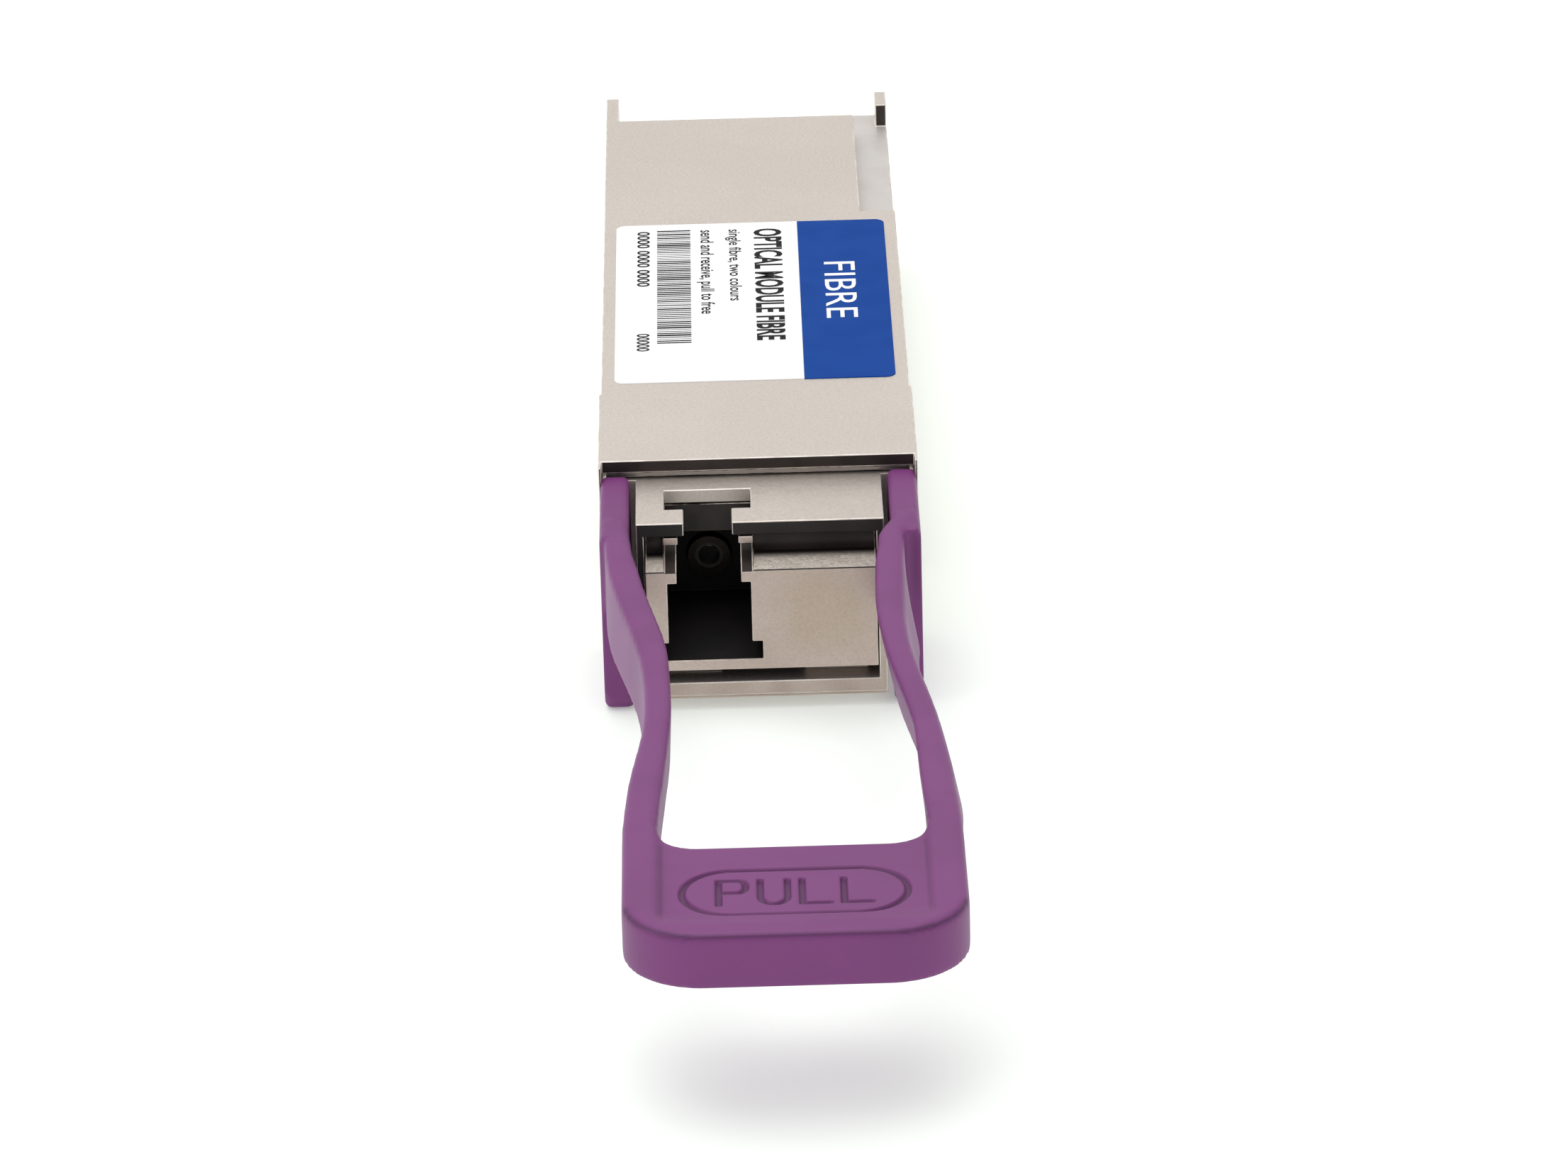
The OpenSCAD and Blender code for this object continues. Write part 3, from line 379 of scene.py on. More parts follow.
# The tab's crease colour is painted shade, in its grooves, on the dish's walls and along the
# grip's rounded front edge.
finish("soft_tab", srgb(124, 55, 121), srgb(120, 53, 117), 0.0, (0.44, 0.54), 0.14, 0.25,
       mottle_mm=5.0, contrast=0.35, crease_shade=srgb(70, 26, 72), **{"Specular IOR Level": 0.38})
matte_print = {"Specular IOR Level": 0.12}
finish("label_film", srgb(253, 253, 253), srgb(250, 250, 250), 0.0, (0.4, 0.5), 0.2, 0.05,
       contrast=0.05, **matte_print)
finish("floor_white", srgb(244, 252, 244), srgb(243, 251, 243), 0.0, (0.7, 0.8), 5.0, 0.02,
       mottle_mm=200.0, contrast=0.02,
       **{"Emission Color": (1.0, 1.0, 1.0, 1.0), "Emission Strength": 0.27})
floor.data.materials.append(finishes["floor_white"])
print(len(finishes), "finishes")

# %% [markdown]
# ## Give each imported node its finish
# The record names a finish for every node. The node keeps its shape, and only the
# material in its slots changes. The sleeve in the port is shown darker than the record's
# ceramic, as it lies in deep shade.

# %% Finish of each node
slot_of = {}
for row in frame["record"]["subparts"]:
    slot_of[row["node"]] = row["material_slot"]
    node = frame["nodes"][row["node"]]
    node.data.materials.clear()
    node.data.materials.append(finishes[row["material_slot"]])
sleeve = frame["nodes"]["ferrule_sleeve"].data.materials
sleeve.clear()
sleeve.append(finishes["black_ceramic"])
print(len(slot_of), "nodes carry", len(set(slot_of.values())), "finishes")

# %% [markdown]
# ## Metal with soft edges
# Cast and stamped metal never ends in a razor edge, and it is the thin bright line along
# an edge that makes it look like metal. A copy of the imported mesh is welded, its flat
# faces are joined up again, and a bevel rounds whatever is left sharp. Weighted normals
# keep the big faces flat, so that only the rounded edges catch the light.

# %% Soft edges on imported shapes
def settle(piece, name, body, slot_name, nodes=()):
    """Applies a piece's modifiers, hangs it on its body and hides the nodes it replaces."""
    depsgraph = bpy.context.evaluated_depsgraph_get()
    final = bpy.data.meshes.new_from_object(piece.evaluated_get(depsgraph))
    final.name = name
    piece.modifiers.clear()
    piece.data = final
    if not final.materials:
        final.materials.append(finishes[slot_name])
    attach(piece, body)
    if nodes:
        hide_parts(*nodes)
    print(name, len(final.polygons), "faces")
    return piece


def paint(piece, finish_name, chosen):
    """Gives a second finish to the faces that chosen(x, y, z, normal) picks, in mm."""
    piece.data.materials.append(finishes[finish_name])
    index, count = len(piece.data.materials) - 1, 0
    for face in piece.data.polygons:
        if chosen(*(c / MM for c in face.center), face.normal):
            face.material_index = index
            count += 1
    print(piece.name, count, "faces in", finish_name)


def add_block(bm, x, y, z):
    """A block between the two ends of x, of y and of z, in mm."""
    made = bmesh.ops.create_cube(bm, size=1.0)["verts"]
    for vert in made:
        vert.co = Vector([(span[0] + span[1]) / 2 + c * (span[1] - span[0])
                          for c, span in zip(vert.co, (x, y, z))]) * MM


weld = 0.0005 * MM


def soft_edged(node_name, name, body, width_mm, blocks=()):
    """A copy of a node with rounded edges, which the attribute worn_edge marks."""
    mesh = frame["nodes"][node_name].data.copy()
    bm = bmesh.new()
    bm.from_mesh(mesh)
    bmesh.ops.remove_doubles(bm, verts=bm.verts, dist=weld)
    bmesh.ops.dissolve_limit(bm, angle_limit=math.radians(0.5), verts=bm.verts, edges=bm.edges,
                             use_dissolve_boundaries=False)
    for block in blocks:
        add_block(bm, *block)
    bm.to_mesh(mesh)
    bm.free()
    mesh.shade_smooth()
    mesh.materials.append(finishes[slot_of[node_name]])
    piece = new_object(name, mesh)
    bevel = piece.modifiers.new("soft_edges", "BEVEL")
    bevel.material = 1
    bevel.width = width_mm * MM
    bevel.segments = 2
    bevel.limit_method = "ANGLE"
    bevel.angle_limit = math.radians(32)
    bevel.use_clamp_overlap = False
    flat = piece.modifiers.new("flat_faces", "WEIGHTED_NORMAL")
    flat.mode = "FACE_AREA"
    flat.weight = 100
    settle(piece, name, body, slot_of[node_name], [node_name])
    faces = piece.data.polygons
    worn = piece.data.attributes.new("worn_edge", "FLOAT", "FACE")
    worn.data.foreach_set("value", [float(face.material_index) for face in faces])
    for face in faces:
        face.material_index = 0
    piece.data.materials.pop(index=1)
    return piece


cast_base = soft_edged("base_shell", "cast_base", "housing", 0.07)
cover = soft_edged("cover_shell", "plated_cover", "housing", 0.06)
slider = soft_edged("latch_slider", "pressed_slider", "latch", 0.05)

# %% [markdown]
# ## Painted shade on the fronts and in the port
# Faces that look towards the user and the recesses around the port lie in shade, and
# that shade is painted into their colour. Inside the port the block is painted near black.

# %% The port block
FACING = 0.97  # how much of a normal lies along an axis before a face counts as square to it
axis_x = sum(c.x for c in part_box("port_barrel")) / 2 / MM
block_low, block_high = (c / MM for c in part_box("port_insert"))
port_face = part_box("base_shell")[0].y / MM
shoulder_near, shoulder_far = 1.75, 2.58
window_rear = port_face + 2.62
port_reach, neck_half = 3.05, 2.6
shoulders = [(tuple(sorted((axis_x + side * shoulder_near, axis_x + side * shoulder_far))),
              (window_rear, port_face + 4.4), (block_high.z - 0.45, block_high.z - 0.02))
             for side in (-1, 1)]
port_block = soft_edged("port_insert", "port_block", "housing", 0.06, blocks=shoulders)
ledge = block_high.z - 1.01
port_top = ledge - 0.3


def square_on(n):
    return max(abs(c) for c in n) > FACING


# Painted shade on the shoulder blocks and the other faces above the ledge behind the window.
paint(port_block, "shaded_edge", lambda x, y, z, n: y > window_rear + 0.1 and z > ledge + 0.004
      and (square_on(n) or n.z > 0.1))
# Painted shade on the pocket floors beside the neck, just under the ledge.
paint(port_block, "shaded_edge", lambda x, y, z, n: n.z > FACING
      and ledge - 0.25 < z < ledge - 0.03 and abs(x - axis_x) < neck_half)
# The ledge's colour darkens to painted shade towards its back.
finish("blasted_ledge", srgb(232, 222, 210), srgb(214, 202, 190), 0.5, (0.35, 0.5), 0.2, 0.5,
       depth_mm=0.01, mottle_mm=0.6, contrast=2.2, dim=(port_face + 1.5, port_face + 2.6))
paint(port_block, "blasted_ledge", lambda x, y, z, n: n.z > FACING and abs(z - ledge) < 0.05
      and y > port_face)
# Painted shade on the slanted faces along the ledge's front edge.
paint(port_block, "painted_recess_shade", lambda x, y, z, n: n.y < -0.3 and n.z > 0.3
      and abs(z - ledge) < 0.12 and y < port_face + 0.2)
# Painted shade, near black, on the port's inside and on the rear wall seen through the neck.
paint(port_block, "port_shade_black", lambda x, y, z, n: y > port_face + 0.1
      and abs(x - axis_x) < port_reach and block_low.z + 0.3 < z < port_top)
paint(port_block, "port_shade_black", lambda x, y, z, n: n.y < -FACING and y > port_face + 5
      and abs(x - axis_x) < neck_half and z < port_top)

# %% Painted shade on the shells' fronts and the slider's bridge, and the milled key floor
cover_low, cover_high = (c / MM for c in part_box("cover_shell"))
slider_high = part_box("latch_slider")[1] / MM
bridge_thick, leg_thick = 1.0, 0.9
roof_front = port_face + 2.65
key_z = cover_high.z - 1.5
key_inside, prong_inside, card_end = 6, 7, 20
lip_high, recess_low, recess_roof = 3, 3.5, 5
# Painted shade on the slider's bridge.
paint(slider, "shaded_edge", lambda x, y, z, n: z > slider_high.z - bridge_thick
      and abs(x) < slider_high.x - leg_thick)
# Painted shade on the cover's front faces.
paint(cover, "shaded_edge", lambda x, y, z, n: n.y < -FACING and y < cover_low.y + 1.5)
paint(cover, "milled_metal", lambda x, y, z, n: n.z > FACING and abs(z - key_z) < 0.2
      and x > key_inside)
# Painted shade on the roof's front faces and its underside at the front.
paint(cast_base, "painted_recess_shade", lambda x, y, z, n: y < roof_front + 0.4
      and (n.y < -FACING and z > recess_low or n.z < -0.2 and z > recess_roof))
# Painted shade on the front face of the right prong at the card end.
paint(cover, "shaded_edge", lambda x, y, z, n: n.y < -FACING and x > prong_inside
      and y > card_end and z > key_z)
# Painted shade on the front faces of the housing's lower lip.
paint(cast_base, "painted_front_shade", lambda x, y, z, n: n.y < -FACING and z < lip_high
      and y < port_face + 1)

# %% [markdown]
# ## The pull tab
# The tab is one soft moulding: two arms that hold the slider, two straps that bend in and
# out again, and a shallow dished grip. Each part is lofted from sections. A fine voxel
# remesh then melts them into one skin, the way moulded rubber flows into its corners,
# and the dish and the engraving are pressed into that skin.

# %% Plan of the straps
tab_low, tab_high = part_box("pull_tab")
tab_top = tab_high.z / MM
tab_bottom = tab_low.z / MM
grip_front = tab_low.y / MM
arm_outer = -tab_low.x / MM
arm_rear = tab_high.y / MM
grip_length, strap_length, grip_half = 11.5, 41.0, 8.925
grip_rear = grip_front + grip_length
grip_z0 = tab_top - 3.1
tab_sway = tab_high.x / MM - grip_half
arm_thick, arm_nose = 1.7, 0.9
arm_mid = arm_outer - arm_thick / 2
strap_jog, strap_pinch, pinch_at, root_sway = 0.55, 1.08, 17.5, 0.34
strap_root, strap_thick, strap_widens = -2.9, 1.5, 0.35
strap_deep, strap_taper, into_grip = 4.8, 1.7, 1.5
strap_steps, arm_steps = 120, 24
strap_grip_x = grip_half - 0.92
right_bulge = 0.26


def ease(t, start, end):
    """Goes smoothly from 0 at the start to 1 at the end."""
    u = min(1, max(0, (t - start) / (end - start)))
    return u * u * (3 - 2 * u)


def strap_middle(side, s):
    """X of a strap's middle, s mm in front of the port's face."""
    leaves_arm = ease(s, -2.6, 0.8)
    spread = (arm_mid - strap_jog * leaves_arm - strap_pinch * ease(s, 0, pinch_at)
              + (strap_grip_x - arm_mid + strap_jog + strap_pinch)
              * ease(s, pinch_at, strap_length))
    sway = -root_sway * leaves_arm + (tab_sway + root_sway) * ease(s, 2, 27.9)
    if side > 0:
        sway += right_bulge * ease(s, 11, 25) * (1 - ease(s, 25, 35.5))
    return side * spread + sway


print("straps", strap_length, "mm long, grip", round(2 * grip_half, 2), "mm wide")

# %% Sections, lofted into closed skins
def rounded_section(half_x, z0, z1, r, steps=5):
    """Points round a rectangle with round corners, in X and Z."""
    r = min(r, half_x * 0.98, (z1 - z0) * 0.49)
    points = []
    for cx, cz, start in ((half_x - r, z1 - r, 0), (-half_x + r, z1 - r, 90),
                          (-half_x + r, z0 + r, 180), (half_x - r, z0 + r, 270)):
        for i in range(steps + 1):
            a = math.radians(start + 90 * i / steps)
            points.append((cx + r * math.cos(a), cz + r * math.sin(a)))
    return points


def add_loft(bm, rings):
    """Joins equal rings of points (in mm) into a closed skin."""
    rows = [[bm.verts.new(Vector(p) * MM) for p in ring] for ring in rings]
    count = len(rows[0])
    for a, b in zip(rows, rows[1:]):
        for i in range(count):
            j = (i + 1) % count
            bm.faces.new((a[i], a[j], b[j], b[i]))
    bm.faces.new(reversed(rows[0]))
    bm.faces.new(rows[-1])


def strap_rings(side):
    """A strap leans a little, its lower edge outwards, and thickens inwards as it leaves
    its arm. The right one leans more, and the left one is thicker."""
    rings = []
    lean, swell, thins = (0.2, 0.2, 8) if side > 0 else (0.05, 0.28, 13)
    for i in range(strap_steps + 1):
        s = strap_root + (strap_length + into_grip - strap_root) * i / strap_steps
        inward = swell * ease(s, 0.5, 5) * (1 - ease(s, thins, thins + 8))
        half = (strap_thick + inward + strap_widens * ease(s, 25.4, 33.6)) / 2
        root = min(1, (s - strap_root) / half)
        half *= max(0.05, math.sqrt(1 - (1 - root) ** 2))
        depth = strap_deep - strap_taper * min(1, max(0, (s - 6) / (strap_length - 6)))
        top = tab_top - 0.1 * ease(s, 1, 6) * (1 - ease(s, 28, 37))
        x = strap_middle(side, s) - side * inward / 2
        out = side * lean * ease(s, 0, 8) * (1 - ease(s, 31, 40))
        ring = rounded_section(half, tab_top - depth, top, 0.4)
        rings.append([(x + px + out * (tab_top - pz), port_face - s, pz) for px, pz in ring])
    return rings


def arm_rings(side):
    """An arm's lower front corner is round."""
    rings = []
    for i in range(arm_steps + 1):
        y = port_face + (arm_rear - port_face) * i / arm_steps
        short = max(0, arm_nose - (y - port_face))
        lift = arm_nose - math.sqrt(max(0, arm_nose ** 2 - short ** 2))
        ring = rounded_section(arm_thick / 2, tab_bottom + lift, tab_top - 0.12, 0.3)
        rings.append([(side * arm_mid + px, y, pz) for px, pz in ring])
    return rings


def grip_outline(inset):
    """Plan of the grip: round front corners, and fillets up into the straps."""
    r, fillet, band = 4.2, 2.2, 1.9
    half = grip_half
    points = []
    for side, start in ((-1, 180), (1, 270)):
        for i in range(25):
            a = math.radians(start + 90 * i / 24)
            points.append((side * (half - r) + (r - inset) * math.cos(a),
                           grip_front + r + (r - inset) * math.sin(a)))
    for side in (1, -1):
        fillet_arc = []
        inner = half - band
        for i in range(17):
            a = math.radians(270 + 90 * i / 16)
            fillet_arc.append((side * (inner - fillet + (fillet + inset) * math.cos(a)),
                               grip_rear + fillet + (fillet + inset) * math.sin(a)))
        outer = [(side * (half - inset), grip_rear + fillet + 0.4),
                 (side * (inner + inset), grip_rear + fillet + 0.4)]
        points += outer + fillet_arc[::-1] if side > 0 else fillet_arc + outer[::-1]
    return [(tab_sway + x, y) for x, y in points]


def grip_rings():
    """The grip's outline at each height, drawn in where its edges are round."""
    levels = []
    for z, up, r in ((grip_z0, -1, 0.15), (tab_top, 1, 0.4)):
        angles = [math.radians(a) for a in range(0, 91, 15)]
        steps = [(z - up * r * (1 - math.sin(a)), r * (1 - math.cos(a))) for a in angles]
        levels += steps if up > 0 else steps[::-1]
    return [[(x, y, z) for x, y in grip_outline(inset)] for z, inset in levels]


print("grip outline of", len(grip_outline(0)), "points")

# %% One moulded skin
bm = bmesh.new()
for side in (-1, 1):
    add_loft(bm, arm_rings(side))
    add_loft(bm, strap_rings(side))
add_loft(bm, grip_rings())
bmesh.ops.recalc_face_normals(bm, faces=bm.faces)
tab_mesh = bpy.data.meshes.new("soft_tab")
bm.to_mesh(tab_mesh)
bm.free()
tab = new_object("soft_tab_piece", tab_mesh)
melt = tab.modifiers.new("melt", "REMESH")
melt.mode = "VOXEL"
melt.voxel_size = 0.2 * MM
calm = tab.modifiers.new("calm", "SMOOTH")
calm.factor = 0.5
calm.iterations = 4
depsgraph = bpy.context.evaluated_depsgraph_get()
tab_mesh = bpy.data.meshes.new_from_object(tab.evaluated_get(depsgraph))
tab.modifiers.clear()
tab.data = tab_mesh
print("melted skin:", len(tab_mesh.polygons), "faces")

# %% [markdown]
# The dish is a smooth drop inside the rims that dies out towards the front. The ring and
# the word are grooves a third of a millimetre wide, so the faces under them are divided
# first, and every point then sinks by its distance from the nearest stroke. The grooves,
# the dish's walls and the grip's rounded front edge also get a painted shade.

# %% Dish and engraving
ring_length, ring_width, groove, groove_depth = 12.0, 5.6, 0.34, 0.2
dish_depth, dish_start, dish_run = 0.4, 1.3, 2.2
rim, rim_fade, rim_shade_start, rim_shade_run = 1.65, 0.5, 2.4, 1.2
groove_shade, brow_shade = 0.7, 0.75
ring_y = grip_rear - grip_length / 2


def arc(cx, cy, rx, ry, start, end, count):
    """Points on an ellipse between two angles, counted anticlockwise from the right."""
    return [(cx + rx * math.cos(a), cy + ry * math.sin(a))
            for a in np.linspace(start, end, count)]


def letter_strokes():
    """The lines of the word PULL, each a list of points."""
    h, w, gap = 2.8, 1.4, 0.75
    quarter = math.pi / 2
    bowl = [(0.75 * w, h), *arc(0.75 * w, 0.75 * h, 0.25 * w, 0.25 * h, quarter, -quarter, 9),
            (0.75 * w, h / 2)]
    hook = [(0, h), (0, 0.3 * h),
            *arc(w / 2, 0.3 * h, w / 2, 0.3 * h, math.pi, 2 * math.pi, 13), (w, h)]
    ell = [(0, h), (0, 0), (w, 0)]
    letters = [[[(0, 0), (0, h), (0.75 * w, h)], bowl, [(0, h / 2), (0.75 * w, h / 2)]],
               [hook], [ell], [ell]]
    strokes = []
    for i, letter in enumerate(letters):
        x0, y0 = tab_sway + (i - 1.5) * (w + gap) - w / 2, ring_y - h / 2
        for line in letter:
            strokes += [((x0 + a[0], y0 + a[1]), (x0 + b[0], y0 + b[1]))
                        for a, b in zip(line, line[1:])]
    return strokes


def groove_distance(x, y):
    """Distance in mm from each point to the nearest engraved stroke."""
    half = (ring_length - ring_width) / 2
    dx = np.maximum(np.abs(x - tab_sway) - half, 0)
    nearest = np.abs(np.hypot(dx, y - ring_y) - (ring_width - groove) / 2)
    for (ax, ay), (bx, by) in letter_strokes():
        ux, uy = bx - ax, by - ay
        t = np.clip(((x - ax) * ux + (y - ay) * uy) / max(ux * ux + uy * uy, 1e-9), 0, 1)
        nearest = np.minimum(nearest, np.hypot(x - ax - t * ux, y - ay - t * uy))
    return nearest


def smooth(u):
    """The curve of ease, from 0 to 1, for a number or a whole array."""
    u = np.clip(u, 0, 1)
    return u * u * (3 - 2 * u)


def inside_rims(x):
    """1 between the rims of the grip, and 0 on them."""
    return float(smooth((grip_half - rim - abs(x - tab_sway)) / rim_fade))


bm = bmesh.new()
bm.from_mesh(tab_mesh)
bm.normal_update()
for vert in bm.verts:
    x, y, z = (c / MM for c in vert.co)
    if y < grip_rear + 2.6 and z > tab_top - 1.0:
        along = float(smooth((y - grip_front - dish_start) / dish_run))
        vert.co.z -= dish_depth * inside_rims(x) * along * MM
bm.normal_update()


def under_ring(face, margin=0.3):
    """Whether a face on top of the grip lies within the ring, or just outside it."""
    x, y, z = face.calc_center_median() / MM
    return (face.normal.z > 0.9 and z > grip_z0 + 2
            and abs(x - tab_sway) < ring_length / 2 + margin
            and abs(y - ring_y) < ring_width / 2 + margin)


edges = list({e for f in bm.faces if under_ring(f) for e in f.edges})
bmesh.ops.subdivide_edges(bm, edges=edges, cuts=2, use_grid_fill=True)
bm.normal_update()
# Painted shade: the grooves and the dish's walls inside the rims are marked for the crease
# colour.
crease_shade = bm.verts.layers.float.new("crease_shade")
top = [v for v in bm.verts if v.normal.z > 0.8 and v.co.z / MM > grip_z0 + 2
       and v.co.y / MM < grip_rear]
xs = np.array([v.co.x for v in top]) / MM
ys = np.array([v.co.y for v in top]) / MM
sink = smooth((groove / 2 + 0.06 - groove_distance(xs, ys)) / 0.12)
for vert, drop in zip(top, sink):
    x, y = vert.co.x / MM, vert.co.y / MM
    wall = 4 * inside_rims(x) * (1 - inside_rims(x))
    wall *= float(smooth((y - grip_front - rim_shade_start) / rim_shade_run))
    vert[crease_shade] = groove_shade * max(float(drop), wall)
    vert.co.z -= groove_depth * float(drop) * MM
# Painted shade along the grip's rounded front edge.
for vert in bm.verts:
    n = vert.normal
    if vert.co.y / MM < grip_front + 5 and n.y < -0.05 and vert.co.z / MM > tab_top - 0.7:
        brow = float(smooth((0.97 - n.z) / 0.25) * smooth((n.z - 0.2) / 0.3))
        vert[crease_shade] = max(vert[crease_shade], brow_shade * brow)
bmesh.ops.recalc_face_normals(bm, faces=bm.faces)
bm.to_mesh(tab_mesh)
bm.free()
tab_mesh.shade_smooth()
settle(tab, "soft_tab_piece", "latch", "soft_tab", ["pull_tab"])

# %% [markdown]
# ## The label
# A printed film has a thickness you can feel, and its ink has none. The film is a rounded
# plate with a blue band in its own material. The ink is flat text and bars, a few
# thousandths of a millimetre above it. The words are plain ones.

# %% Film of the label
label_low, label_high = (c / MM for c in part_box("label"))
band_x, corner, film_edge = 2.95, 0.6, 0.03
film_top = label_high.z - 0.014


def rounded_plan(x0, x1, y0, y1, radii, steps=8):
    """A closed plan with its own radius at each corner, from the front left, anticlockwise."""
    points = []
    for (cx, cy), r, start in zip(((x0, y0), (x1, y0), (x1, y1), (x0, y1)), radii,
                                  (180, 270, 0, 90)):
        mx = cx + r if start in (180, 90) else cx - r
        my = cy + r if start in (180, 270) else cy - r
        for i in range(steps + 1 if r else 1):
            a = math.radians(start + 90 * i / steps)
            points.append((mx + r * math.cos(a), my + r * math.sin(a)))
    return points


def drawn_in(c, low, high):
    """A coordinate near an edge of the film, moved inwards by the film's soft edge."""
    return c + (film_edge if c < low + 0.3 else -film_edge if c > high - 0.3 else 0)


def film(name, finish_name, x0, x1, radii):
    bm = bmesh.new()
    plan = rounded_plan(x0, x1, label_low.y, label_high.y, radii)
    inner = [(drawn_in(x, x0, x1), drawn_in(y, label_low.y, label_high.y)) for x, y in plan]
    add_loft(bm, [[(x, y, label_low.z) for x, y in plan],
                  [(x, y, film_top - 0.02) for x, y in plan],
                  [(x, y, film_top) for x, y in inner]])
    bmesh.ops.recalc_face_normals(bm, faces=bm.faces)
    mesh = bpy.data.meshes.new(name)
    bm.to_mesh(mesh)
    bm.free()
    mesh.materials.append(finishes[finish_name])
    return settle(new_object(name, mesh), name, "housing", "label_film", ["label"])


finish("label_blue", srgb(14, 70, 154), srgb(12, 67, 150), 0.0, (0.4, 0.5), 0.2, 0.04,
       contrast=0.05, **{"Specular IOR Level": 0.03})
finish("label_ink", srgb(12, 12, 14), srgb(20, 20, 22), 0.0, (0.5, 0.6), 0.15, 0.05,
       contrast=0.1, **matte_print)
film("label_white", "label_film", label_low.x, band_x, (corner, 0, 0, corner))
film("label_band", "label_blue", band_x, label_high.x, (0, corner, corner, 0))

# %% Print
line_top, print_lift = label_high.y - 1.2, 0.006
print_z = film_top + print_lift


def printed(name, words, x, y, height, length, finish_name, weight=0.0):
    """One line of plain words, read towards the pull tab, fitted to a height and length."""
    curve = bpy.data.curves.new(name, "FONT")
    curve.body = words
    curve.size = 1.0
    curve.offset = weight
    curve.resolution_u = 3
    item = new_object(name, curve)
    depsgraph = bpy.context.evaluated_depsgraph_get()
    mesh = bpy.data.meshes.new_from_object(item.evaluated_get(depsgraph))
    bpy.data.objects.remove(item)
    points = np.array([v.co for v in mesh.vertices])
    low, high = points.min(0), points.max(0)
    for vert in mesh.vertices:
        along = (vert.co.x - low[0]) / (high[0] - low[0]) * length
        up = (vert.co.y - low[1]) / (high[1] - low[1]) * height
        vert.co = Vector((x + up, y - along, print_z)) * MM
    mesh.materials.clear()
    mesh.materials.append(finishes[finish_name])
    for face in mesh.polygons:
        face.material_index = 0
    return settle(new_object(name, mesh), name, "housing", "label_film")


for name, words, x, down, height, length, weight in (
        ("print_heading", "OPTICAL MODULE FIBRE", 0.18, 0, 1.78, 19.2, 0.03),
        ("print_kind", "single fibre, two colours", -1.6, 0, 1.0, 12.4, 0.012),
        ("print_use", "send and receive, pull to free", -3.4, 0, 1.1, 14.5, 0.012),
        ("print_row", "0000 0000 0000", -7.1, 0, 0.8, 9.6, 0.02),
        ("print_end", "00000", -7.1, 17.6, 0.8, 2.9, 0.02)):
    printed(name, words, x, line_top - down, height, length, "label_ink", weight)
printed("print_band", "FIBRE", 4.5, line_top - 6.2, 1.9, 9.6, "label_film")

# %% [markdown]
# ## Bars, springs and contacts with Geometry Nodes
# Each of these repeats one small shape, or follows a path. A tree with named inputs makes
# the shape once and repeats it, the result is realised, and a plain mesh is kept. The
# springs run from their front stop along the length of their parts.

# %% Geometry Nodes helpers
def geometry_tree(name, inputs):
    tree = bpy.data.node_groups.new(name, "GeometryNodeTree")
    tree.interface.new_socket("Geometry", in_out="OUTPUT", socket_type="NodeSocketGeometry")
    for label, kind, value in inputs:
        socket = tree.interface.new_socket(label, in_out="INPUT", socket_type="NodeSocket" + kind)
        if value is not None:
            socket.default_value = value
    return tree, tree.nodes.new("NodeGroupInput").outputs, tree.nodes.new("NodeGroupOutput")


def close_tree(tree, geometry, material, end):
    real = add_node(tree, "GeometryNodeRealizeInstances", {"Geometry": geometry})
    done = add_node(tree, "GeometryNodeSetMaterial",
                    {"Geometry": real.outputs[0], "Material": material})
    tree.links.new(done.outputs[0], end.inputs[0])


def grow(name, tree, body, slot_name, nodes=(), **values):
    """Runs a tree on an empty mesh, with its inputs set by identifier."""
    piece = new_object(name, bpy.data.meshes.new(name))
    modifier = piece.modifiers.new("grow", "NODES")
    modifier.node_group = tree
    wanted = {key.replace("_", " "): value for key, value in values.items()}
    for item in tree.interface.items_tree:
        if item.in_out == "INPUT" and item.name in wanted:
            modifier[item.identifier] = wanted[item.name]
    return settle(piece, name, body, slot_name, nodes)


# %% Bars of the label
bars, ins, end = geometry_tree("printed_bars", [
    ("Count", "Int", 60), ("Pitch", "Float", 0.0003), ("Height", "Float", 0.002),
    ("Thinnest", "Float", 0.00008), ("Widest", "Float", 0.0003), ("Seed", "Int", 4),
    ("Corner", "Vector", None)])
step = add_node(bars, "ShaderNodeCombineXYZ")
bars.links.new(maths(bars, "MULTIPLY", ins["Pitch"], -1.0), step.inputs["Y"])
row = add_node(bars, "GeometryNodeMeshLine", {
    "Count": ins["Count"], "Start Location": ins["Corner"], "Offset": step.outputs[0]})
bar = add_node(bars, "GeometryNodeMeshGrid", {
    "Size X": ins["Height"], "Size Y": 1.0, "Vertices X": 2, "Vertices Y": 2})
width = add_node(bars, "FunctionNodeRandomValue", {"Seed": ins["Seed"]}, data_type="FLOAT")
for label, source in (("Min", "Thinnest"), ("Max", "Widest")):
    socket = [x for x in width.inputs if x.name == label and x.type == "VALUE"][0]
    bars.links.new(ins[source], socket)
scale = add_node(bars, "ShaderNodeCombineXYZ", {"X": 1.0, "Z": 1.0})
wide = [x for x in width.outputs if x.type == "VALUE" and x.enabled][0]
bars.links.new(wide, scale.inputs["Y"])
placed = add_node(bars, "GeometryNodeInstanceOnPoints", {
    "Points": row.outputs[0], "Instance": bar.outputs[0], "Scale": scale.outputs[0]})
close_tree(bars, placed.outputs[0], finishes["label_ink"], end)
bars_x = -4.81
grow("print_bars", bars, "housing", "label_film", Count=62, Pitch=0.315 * MM, Height=2.08 * MM,
     Thinnest=0.06 * MM, Widest=0.26 * MM, Seed=4,
     Corner=(bars_x * MM, line_top * MM, print_z * MM))

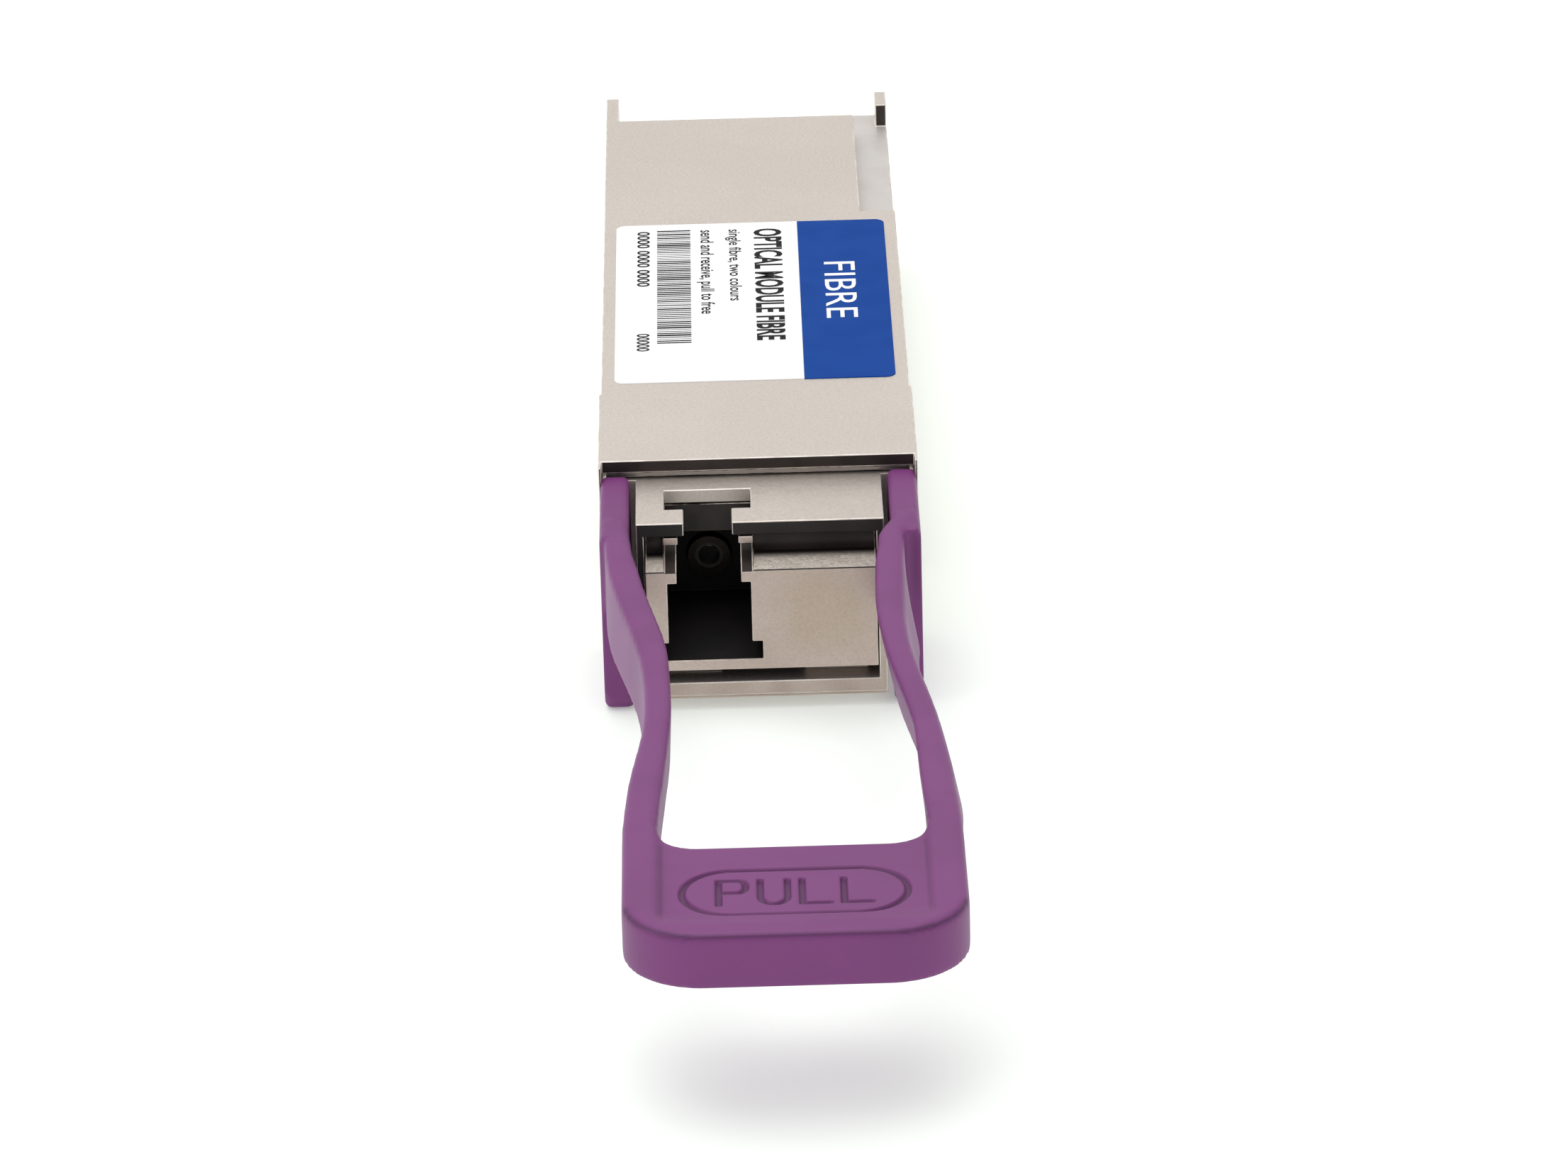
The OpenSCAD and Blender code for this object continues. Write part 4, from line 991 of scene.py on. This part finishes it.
# %% Return springs
coil, ins, end = geometry_tree("return_coil", [
    ("Turns", "Float", 7.0), ("Radius", "Float", 0.00066), ("Length", "Float", 0.006),
    ("Wire", "Float", 0.00028), ("Start", "Vector", None)])
helix = add_node(coil, "GeometryNodeCurveSpiral", {
    "Resolution": 28, "Rotations": ins["Turns"], "Start Radius": ins["Radius"],
    "End Radius": ins["Radius"], "Height": ins["Length"]})
wire = add_node(coil, "GeometryNodeCurvePrimitiveCircle", {"Resolution": 10})
coil.links.new(maths(coil, "DIVIDE", ins["Wire"], 2.0), wire.inputs["Radius"])
swept = add_node(coil, "GeometryNodeCurveToMesh", {
    "Curve": helix.outputs[0], "Profile Curve": wire.outputs[0], "Fill Caps": True})
laid = add_node(coil, "GeometryNodeTransform", {
    "Geometry": swept.outputs[0], "Translation": ins["Start"],
    "Rotation": (math.radians(-90), 0.0, 0.0)})
smooth_wire = add_node(coil, "GeometryNodeSetShadeSmooth", {"Geometry": laid.outputs[0]})
close_tree(coil, smooth_wire.outputs[0], finishes["spring_steel"], end)
wire_d = 0.28 * MM
for side in ("left", "right"):
    low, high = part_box("spring_" + side)
    middle = (low + high) / 2
    spring = grow("return_spring_" + side, coil, "housing", "spring_steel", ["spring_" + side],
                  Turns=7.0, Radius=(high.z - low.z - wire_d) / 2,
                  Length=high.y - low.y - wire_d, Wire=wire_d,
                  Start=(middle.x, low.y + wire_d / 2, middle.z))
    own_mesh(spring)

# %% Edge contacts
contacts, ins, end = geometry_tree("edge_contacts", [
    ("Count", "Int", 19), ("Pitch", "Float", 0.0008), ("Width", "Float", 0.00054),
    ("Short", "Float", 0.0022), ("Extra", "Float", 0.0005), ("Thick", "Float", 0.00005),
    ("Rear", "Vector", None)])
step = add_node(contacts, "ShaderNodeCombineXYZ", {"X": ins["Pitch"]})
row = add_node(contacts, "GeometryNodeMeshLine", {
    "Count": ins["Count"], "Start Location": ins["Rear"], "Offset": step.outputs[0]})
third = maths(contacts, "MODULO", add_node(contacts, "GeometryNodeInputIndex").outputs[0], 3.0)
ground = maths(contacts, "COMPARE", third, 0.0, 0.1)
length = maths(contacts, "MULTIPLY_ADD", ground, ins["Extra"], ins["Short"])
stretch = add_node(contacts, "ShaderNodeCombineXYZ", {
    "X": ins["Width"], "Y": length, "Z": ins["Thick"]})
finger = add_node(contacts, "GeometryNodeMeshCube", {"Size": (1.0, 1.0, 1.0)})
hung = add_node(contacts, "GeometryNodeTransform", {
    "Geometry": finger.outputs[0], "Translation": (0.0, -0.5, 0.0)})
placed = add_node(contacts, "GeometryNodeInstanceOnPoints", {
    "Points": row.outputs[0], "Instance": hung.outputs[0], "Scale": stretch.outputs[0]})
close_tree(contacts, placed.outputs[0], finishes["contact_gold"], end)
board_low, board_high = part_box("main_board")
contact_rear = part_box("edge_contacts")[1].y
first_contact, plating = -7.2 * MM, 0.025 * MM
for face, z in (("upper", board_high.z + plating), ("lower", board_low.z - plating)):
    grow("contacts_" + face, contacts, "housing", "contact_gold", ["edge_contacts"],
         Count=19, Rear=(first_contact, contact_rear, z))
